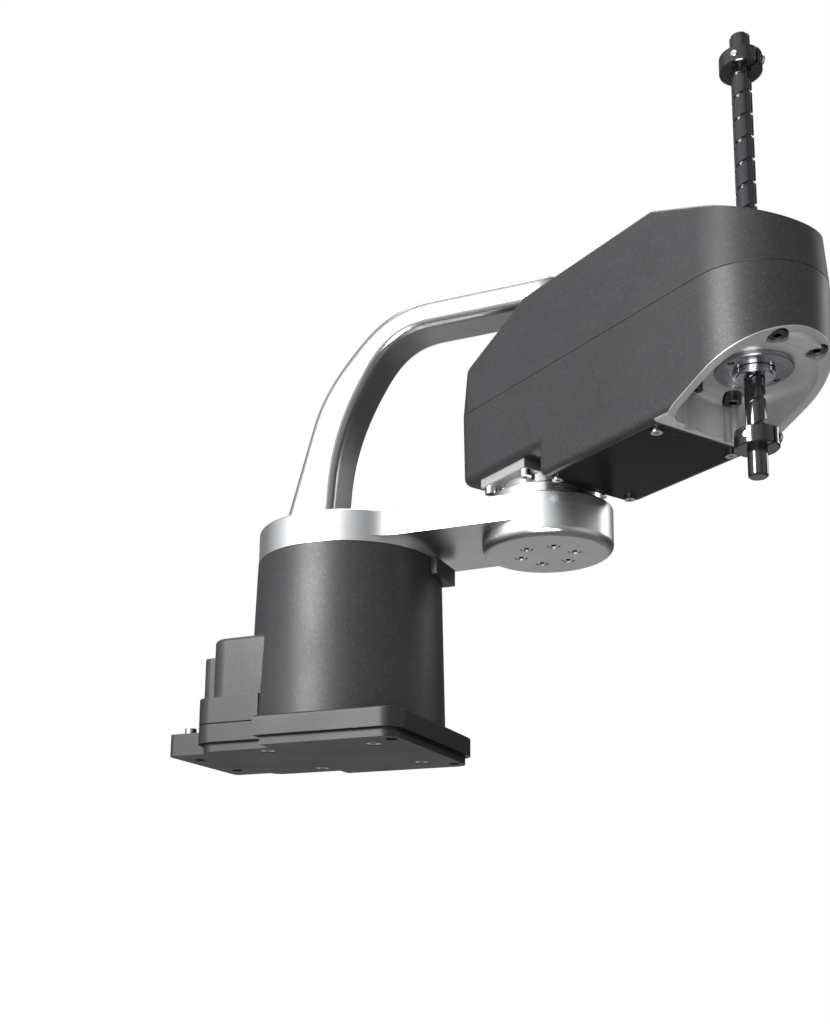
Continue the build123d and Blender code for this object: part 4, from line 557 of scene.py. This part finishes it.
class Finishes:
    """Every material of the robot, by the record's slot, with the turned ones by node."""

    def __init__(self, effects: Effects) -> None:
        """Makes the materials.

        Args:
            effects: the shared node groups.
        """
        plain = (
            Coat("charcoal_coat", CASING_COLOUR, CASING_FLECK),
            Coat("plinth_coat", (0.014, 0.0145, 0.016), (0.04, 0.04, 0.043),
                 roughness=0.42, depth=0.12, grain=1.6),
            Metal("machined_aluminium", (0.74, 0.75, 0.76), 0.33),
            Gloss("arch_paint", (0.40, 0.40, 0.39), 0.28, metallic=0.9, depth=0.008, scale=900.0),
            Metal("cast_nose", (0.36, 0.36, 0.375), 0.34, along=200.0, across=900.0),
            Gloss("shaft_steel", (0.035, 0.036, 0.040), 0.12, metallic=0.6, coat=0.6),
            Gloss("collar_black", (0.012, 0.012, 0.014), 0.16, coat=0.5),
            Metal("screw_steel", (0.60, 0.61, 0.63), 0.22, lines=0.04),
            Gloss("plate_black", (0.006, 0.006, 0.007), 0.2, specular=0.04),
            Metal("bearing_steel", (0.62, 0.63, 0.65), 0.2, lines=0.05),
            Coat("motor_black", (0.03, 0.03, 0.033), (0.06, 0.06, 0.06), grain=1.8, depth=0.1),
            Gloss("belt_rubber", (0.02, 0.02, 0.02), 0.7, depth=0.2),
            Gloss("socket_plastic", (0.025, 0.025, 0.028), 0.45, depth=0.1),
            Gloss("board_green", (0.02, 0.12, 0.06), 0.35),
            Gloss("seal_rubber", (0.015, 0.015, 0.015), 0.65, depth=0.15),
        )
        self.by_slot: dict[str, bpy.types.Material] = {
            finish.name: finish.make(effects) for finish in plain
        }
        casing = NoseCasting(
            Coat("nose_casting", CASING_COLOUR, CASING_FLECK),
            Metal("nose_metal", (0.62, 0.615, 0.625), 0.38, metallic=0.6),
        )
        output_ring = Metal("turned_ring", (0.82, 0.83, 0.84), 0.24,
                            grain=Grain.TURNED, centre=POSE.elbow)
        spindle_ring = Metal("turned_spindle_ring", (0.42, 0.42, 0.44), 0.26,
                             grain=Grain.TURNED, centre=POSE.spindle)
        block = Metal("blasted_block", (0.64, 0.65, 0.65), 0.5,
                      across=1500.0, along=1500.0, depth=0.3)
        black_oxide = Metal("black_oxide", (0.10, 0.10, 0.105), 0.3, lines=0.04)
        self.by_node: dict[str, bpy.types.Material] = {
            "lower_casing": casing.make(effects),
            "j2_output_ring": output_ring.make(effects),
            "j2_flange_block": block.make(effects),
            "nose_screws": black_oxide.make(effects),
            "bearing_plate": spindle_ring.make(effects),
        }

    def dress_frame(self) -> None:
        """Puts each material into the slots of the CAD nodes that wear it."""
        for part in frame["record"]["subparts"]:
            node = frame["nodes"][part["node"]]
            material = self.by_node.get(part["node"], self.by_slot[part["material_slot"]])
            for slot in node.material_slots:
                slot.material = material
            log.info("dressed %s with %s", node.name, material.name)


@dataclass(frozen=True)
class Viewpoint:
    """The photograph's camera: place in metres, directions in degrees."""

    place: tuple[float, float, float] = (275.99 * MM, -546.2 * MM, -101.89 * MM)
    heading: float = 113.81
    rise: float = 11.25
    roll: float = 0.55
    lens: float = 46.28
    shift: float = 0.2

    def make(self) -> None:
        """Makes the camera: it looks along the heading, raised and rolled a little."""
        data = bpy.data.cameras.new("camera")
        data.lens, data.shift_y = self.lens, self.shift
        data.sensor_width = 36.0
        data.clip_start, data.clip_end = 0.01, 20.0
        camera = bpy.data.objects.new("camera", data)
        turn, up = math.radians(self.heading), math.radians(self.rise)
        ahead = Vector((math.cos(turn) * math.cos(up), math.sin(turn) * math.cos(up), math.sin(up)))
        right = ahead.cross(Vector((0, 0, 1))).normalized()
        over = right.cross(ahead)
        lean = math.radians(self.roll)
        side = math.cos(lean) * right + math.sin(lean) * over
        top = -math.sin(lean) * right + math.cos(lean) * over
        axes = Matrix((side, top, -ahead)).transposed().to_4x4()
        camera.matrix_world = Matrix.Translation(self.place) @ axes
        bpy.context.scene.collection.objects.link(camera)
        bpy.context.scene.camera = camera


@dataclass(frozen=True)
class Lamp:
    """A soft rectangular lamp aimed at the robot."""

    name: str
    place: tuple[float, float, float]
    power: float
    size: float

    def make(self, target: Vector) -> None:
        """Makes the lamp.

        Args:
            target: the point that it faces.
        """
        data = bpy.data.lights.new(self.name, "AREA")
        data.shape, data.size = "SQUARE", self.size
        data.energy = self.power
        lamp = bpy.data.objects.new(self.name, data)
        lamp.location = self.place
        lamp.rotation_euler = (target - Vector(self.place)).to_track_quat("-Z", "Y").to_euler()
        bpy.context.scene.collection.objects.link(lamp)


@dataclass(frozen=True)
class Wall:
    """A patch of the room that is mirrored in the robot and fades out round its middle.

    The edge and the full part are cosines of the angle from the patch's middle.
    """

    towards: tuple[float, float, float]
    edge: float
    full: float
    colour: Colour


class Studio:
    """The floor, the pale surroundings and the lamps."""

    floor_half = 3.0
    floor_colour = (0.86, 0.86, 0.86, 1.0)
    floor_roughness = 0.7
    soft_level = 0.5
    aim = (0.1, 0.0, 0.12)
    room_colour: Colour = (0.15, 0.152, 0.158)
    front_left = Wall((-0.42, -0.86, 0.30), 0.35, 0.90, (1.0, 1.0, 1.0))
    right = Wall((0.98, -0.05, 0.10), 0.70, 0.97, (0.60, 0.60, 0.59))
    low_behind = Wall((-0.39, 0.90, -0.19), 0.86, 0.98, (0.45, 0.45, 0.45))
    behind_right = Wall((0.60, 0.75, 0.10), 0.75, 0.95, (0.04, 0.04, 0.045))
    lamps = (
        Lamp("key", (-0.36, -1.0, 0.45), 17.0, 0.4),
        Lamp("top", (-0.2, 0.1, 1.3), 9.0, 0.6),
        Lamp("rim", (0.9, 0.8, 0.6), 2.0, 0.4),
        Lamp("under", (0.22, -0.55, -0.35), 8.0, 0.35),
    )

    def make(self) -> None:
        """Builds the floor, the world and the lamps."""
        self._floor()
        self._world()
        for lamp in self.lamps:
            lamp.make(Vector(self.aim))

    def _floor(self) -> None:
        """A pale square at the height of the mounting face, clear when seen from below."""
        half = self.floor_half
        mesh = bpy.data.meshes.new("floor")
        corners = [(-half, -half, 0.0), (half, -half, 0.0), (half, half, 0.0), (-half, half, 0.0)]
        mesh.from_pydata(corners, [], [(0, 1, 2, 3)])
        floor = bpy.data.objects.new("floor", mesh)
        bpy.context.scene.collection.objects.link(floor)
        material, tree, shader, _ = blank("floor")
        shader.inputs["Base Color"].default_value = self.floor_colour
        shader.inputs["Roughness"].default_value = self.floor_roughness
        clear = put(tree, "ShaderNodeBsdfTransparent")
        under = put(tree, "ShaderNodeNewGeometry").outputs["Backfacing"]
        blend = put(tree, "ShaderNodeMixShader")
        output = next(node for node in tree.nodes if node.type == "OUTPUT_MATERIAL")
        tree.links.new(under, blend.inputs[0])
        tree.links.new(shader.outputs[0], blend.inputs[1])
        tree.links.new(clear.outputs[0], blend.inputs[2])
        tree.links.new(blend.outputs[0], output.inputs[0])
        mesh.materials.append(material)
        floor.visible_glossy = False

    def _world(self) -> None:
        """White where it is looked at, and a plain soft level of light for the rest."""
        world = bpy.data.worlds.new("studio")
        world.use_nodes = True
        bpy.context.scene.world = world
        tree = world.node_tree
        tree.nodes.clear()
        path = put(tree, "ShaderNodeLightPath")
        direct, through = path.outputs["Is Camera Ray"], path.outputs["Is Transmission Ray"]
        seen = maths(tree, "MAXIMUM", direct, through)
        white = put(tree, "ShaderNodeBackground")
        white.inputs["Color"].default_value = (1.0, 1.0, 1.0, 1.0)
        room = put(tree, "ShaderNodeBackground")
        tree.links.new(self._room(tree), room.inputs["Color"])
        level = ramp(tree, path.outputs["Is Glossy Ray"], 0.0, 1.0, self.soft_level, 1.0)
        tree.links.new(level, room.inputs["Strength"])
        blend = put(tree, "ShaderNodeMixShader")
        output = put(tree, "ShaderNodeOutputWorld")
        tree.links.new(seen, blend.inputs[0])
        tree.links.new(room.outputs[0], blend.inputs[1])
        tree.links.new(white.outputs[0], blend.inputs[2])
        tree.links.new(blend.outputs[0], output.inputs[0])

    def _room(self, tree: Tree) -> object:
        """A dim room with its patches of wall, each laid over those before it.

        Args:
            tree: the world's tree.

        Returns:
            The colour socket.
        """
        place = put(tree, "ShaderNodeTexCoord").outputs["Generated"]
        colour: object = self.room_colour
        for wall in (self.front_left, self.right, self.low_behind, self.behind_right):
            facing = put(tree, "ShaderNodeVectorMath", operation="DOT_PRODUCT")
            facing.inputs[1].default_value = Vector(wall.towards).normalized()
            tree.links.new(place, facing.inputs[0])
            share = ramp(tree, facing.outputs["Value"], wall.edge, wall.full, 0.0, 1.0)
            colour = mix_colour(tree, share, colour, wall.colour)
        return colour


def loop_faces(rings: int, points: int, closed: bool) -> np.ndarray:
    """Quads between neighbouring rings of points, each ring closed on itself.

    Args:
        rings: the number of rings.
        points: the number of points in a ring.
        closed: whether the last ring joins the first.

    Returns:
        The quads as rows of four indices.
    """
    first = np.arange(rings if closed else rings - 1)[:, None]
    point = np.arange(points)[None, :]
    after = (point + 1) % points
    onward = (first + 1) % rings
    quads = (first * points + point, onward * points + point,
             onward * points + after, first * points + after)
    return np.stack([corner + 0 * point for corner in quads], axis=-1).reshape(-1, 4)


def make_piece(name: str, points: np.ndarray, faces: list[list[int]],
               material: bpy.types.Material, body: Body) -> None:
    """Makes one piece at the origin, gives it a material and lets it ride on a body.

    Args:
        name: the piece's name.
        points: its points in metres, as rows of three.
        faces: its faces as lists of indices.
        material: its material.
        body: the body that it moves with.
    """
    mesh = bpy.data.meshes.new(name)
    mesh.from_pydata(points.tolist(), [], faces)
    mesh.materials.append(material)
    mesh.update()
    piece = bpy.data.objects.new(name, mesh)
    bpy.context.scene.collection.objects.link(piece)
    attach(piece, body.value)
    log.info("made %s with %d faces on %s", name, len(faces), body.value)


@dataclass
class CollarScrews:
    """The small set screws in the sides of the two shaft collars."""

    collar_r: float = 8.5 * MM
    screw_r: float = 1.3 * MM
    socket_r: float = 0.7 * MM
    proud: float = 0.28 * MM
    sunk: float = 0.5 * MM
    socket_deep: float = 0.2 * MM
    points: int = 24
    places: tuple[tuple[str, float, float], ...] = (
        ("upper_set_screw", 262.0, 258.2 * MM), ("lower_set_screw", 252.0, 98.2 * MM),
    )

    def build(self, material: bpy.types.Material) -> None:
        """Builds both screws.

        Args:
            material: the screws' material.
        """
        for name, heading, height in self.places:
            points, faces = self._surface(math.radians(heading), height)
            make_piece(name, points, faces, material, Body.SHAFT)

    def _surface(self, heading: float, height: float) -> tuple[np.ndarray, list[list[int]]]:
        """A profile of radius and reach turned round a level axis that points out of the collar.

        Each point is the axis point at the collar's radius plus the profile's reach, moved by
        the profile's radius times the cosine of the turn along the level side direction and
        times the sine of the turn along Z.

        Args:
            heading: the axis's direction in the level plane, in radians.
            height: the axis's height in metres.

        Returns:
            The points and the faces.
        """
        edge = self.proud * 0.4
        radius = np.array([self.screw_r, self.screw_r, self.screw_r - edge,
                           self.socket_r + edge / 2, self.socket_r, self.socket_r])
        reach = np.array([-self.sunk, self.proud - edge, self.proud,
                          self.proud, self.proud - edge / 2, self.proud - self.socket_deep])
        turn = np.linspace(0.0, 2.0 * np.pi, self.points, endpoint=False)
        out = np.array([math.cos(heading), math.sin(heading), 0.0])
        level = np.array([-out[1], out[0], 0.0])
        centre = np.array([*POSE.spindle]) + np.array([0.0, 0.0, height])
        grid = centre + (self.collar_r + reach)[:, None, None] * out
        grid = grid + (radius[:, None] * np.cos(turn))[..., None] * level
        upright = np.array([0.0, 0.0, 1.0])
        grid = grid + (radius[:, None] * np.sin(turn))[..., None] * upright
        last = (len(radius) - 1) * self.points
        faces = loop_faces(len(radius), self.points, False)[:, ::-1].tolist()
        faces.append(list(range(self.points))[::-1])
        faces.append(list(range(last, last + self.points)))
        return grid.reshape(-1, 3), faces


@dataclass
class Gasket:
    """The thin dark gasket in the groove between the two halves of the casing."""

    back: float = -30.5 * MM
    half: float = 29.2 * MM
    corner: float = 8.0 * MM
    inset: float = 0.3 * MM
    wide: float = 0.8 * MM
    low: float = 156.03 * MM
    tall: float = 0.3 * MM
    steps: int = 48

    def build(self, material: bpy.types.Material) -> None:
        """Builds the gasket.

        Args:
            material: its material.
        """
        points, faces = self._surface()
        make_piece("casing_gasket", points, faces, material, Body.OUTER_ARM)

    def _surface(self) -> tuple[np.ndarray, list[list[int]]]:
        """A flat rectangle carried round the casing's plan.

        The plan is a half circle about the spindle's axis and a quarter circle at each rear
        corner, joined by straight sides; each point is the arc's centre plus the radius less
        the profile's inset along the arc's own direction.

        Returns:
            The points and the faces.
        """
        reach = POSE.outer_reach
        rear = self.back + self.corner
        arcs = (
            (reach, 0.0, self.half, -90.0, 90.0),
            (rear, self.half - self.corner, self.corner, 90.0, 180.0),
            (rear, self.corner - self.half, self.corner, 180.0, 270.0),
        )
        insets = np.array([self.inset, self.inset + self.wide, self.inset + self.wide, self.inset])
        heights = np.array([0.0, 0.0, self.tall, self.tall]) + self.low
        rows = []
        for centre_x, centre_y, radius, first, last in arcs:
            turn = np.radians(np.linspace(first, last, self.steps))[:, None]
            along = centre_x + (radius - insets) * np.cos(turn)
            across = centre_y + (radius - insets) * np.sin(turn)
            rows.append(np.stack([along, across, heights + 0 * along], axis=-1))
        path = np.concatenate(rows)
        lean = math.radians(POSE.outer_heading)
        x = POSE.inner_reach + path[..., 0] * math.cos(lean) - path[..., 1] * math.sin(lean)
        y = path[..., 0] * math.sin(lean) + path[..., 1] * math.cos(lean)
        grid = np.stack([x, y, path[..., 2]], axis=-1)
        faces = loop_faces(len(path), len(insets), True)[:, ::-1].tolist()
        return grid.reshape(-1, 3), faces


def main() -> None:
    """Builds the scene in order: camera, studio, finishes, pieces."""
    scene = bpy.context.scene
    scene.view_settings.view_transform = "Standard"
    Viewpoint().make()
    Studio().make()
    finishes = Finishes(Effects())
    finishes.dress_frame()
    CollarScrews().build(finishes.by_slot["screw_steel"])
    Gasket().build(finishes.by_slot["seal_rubber"])


if __name__ == "__main__":
    main()
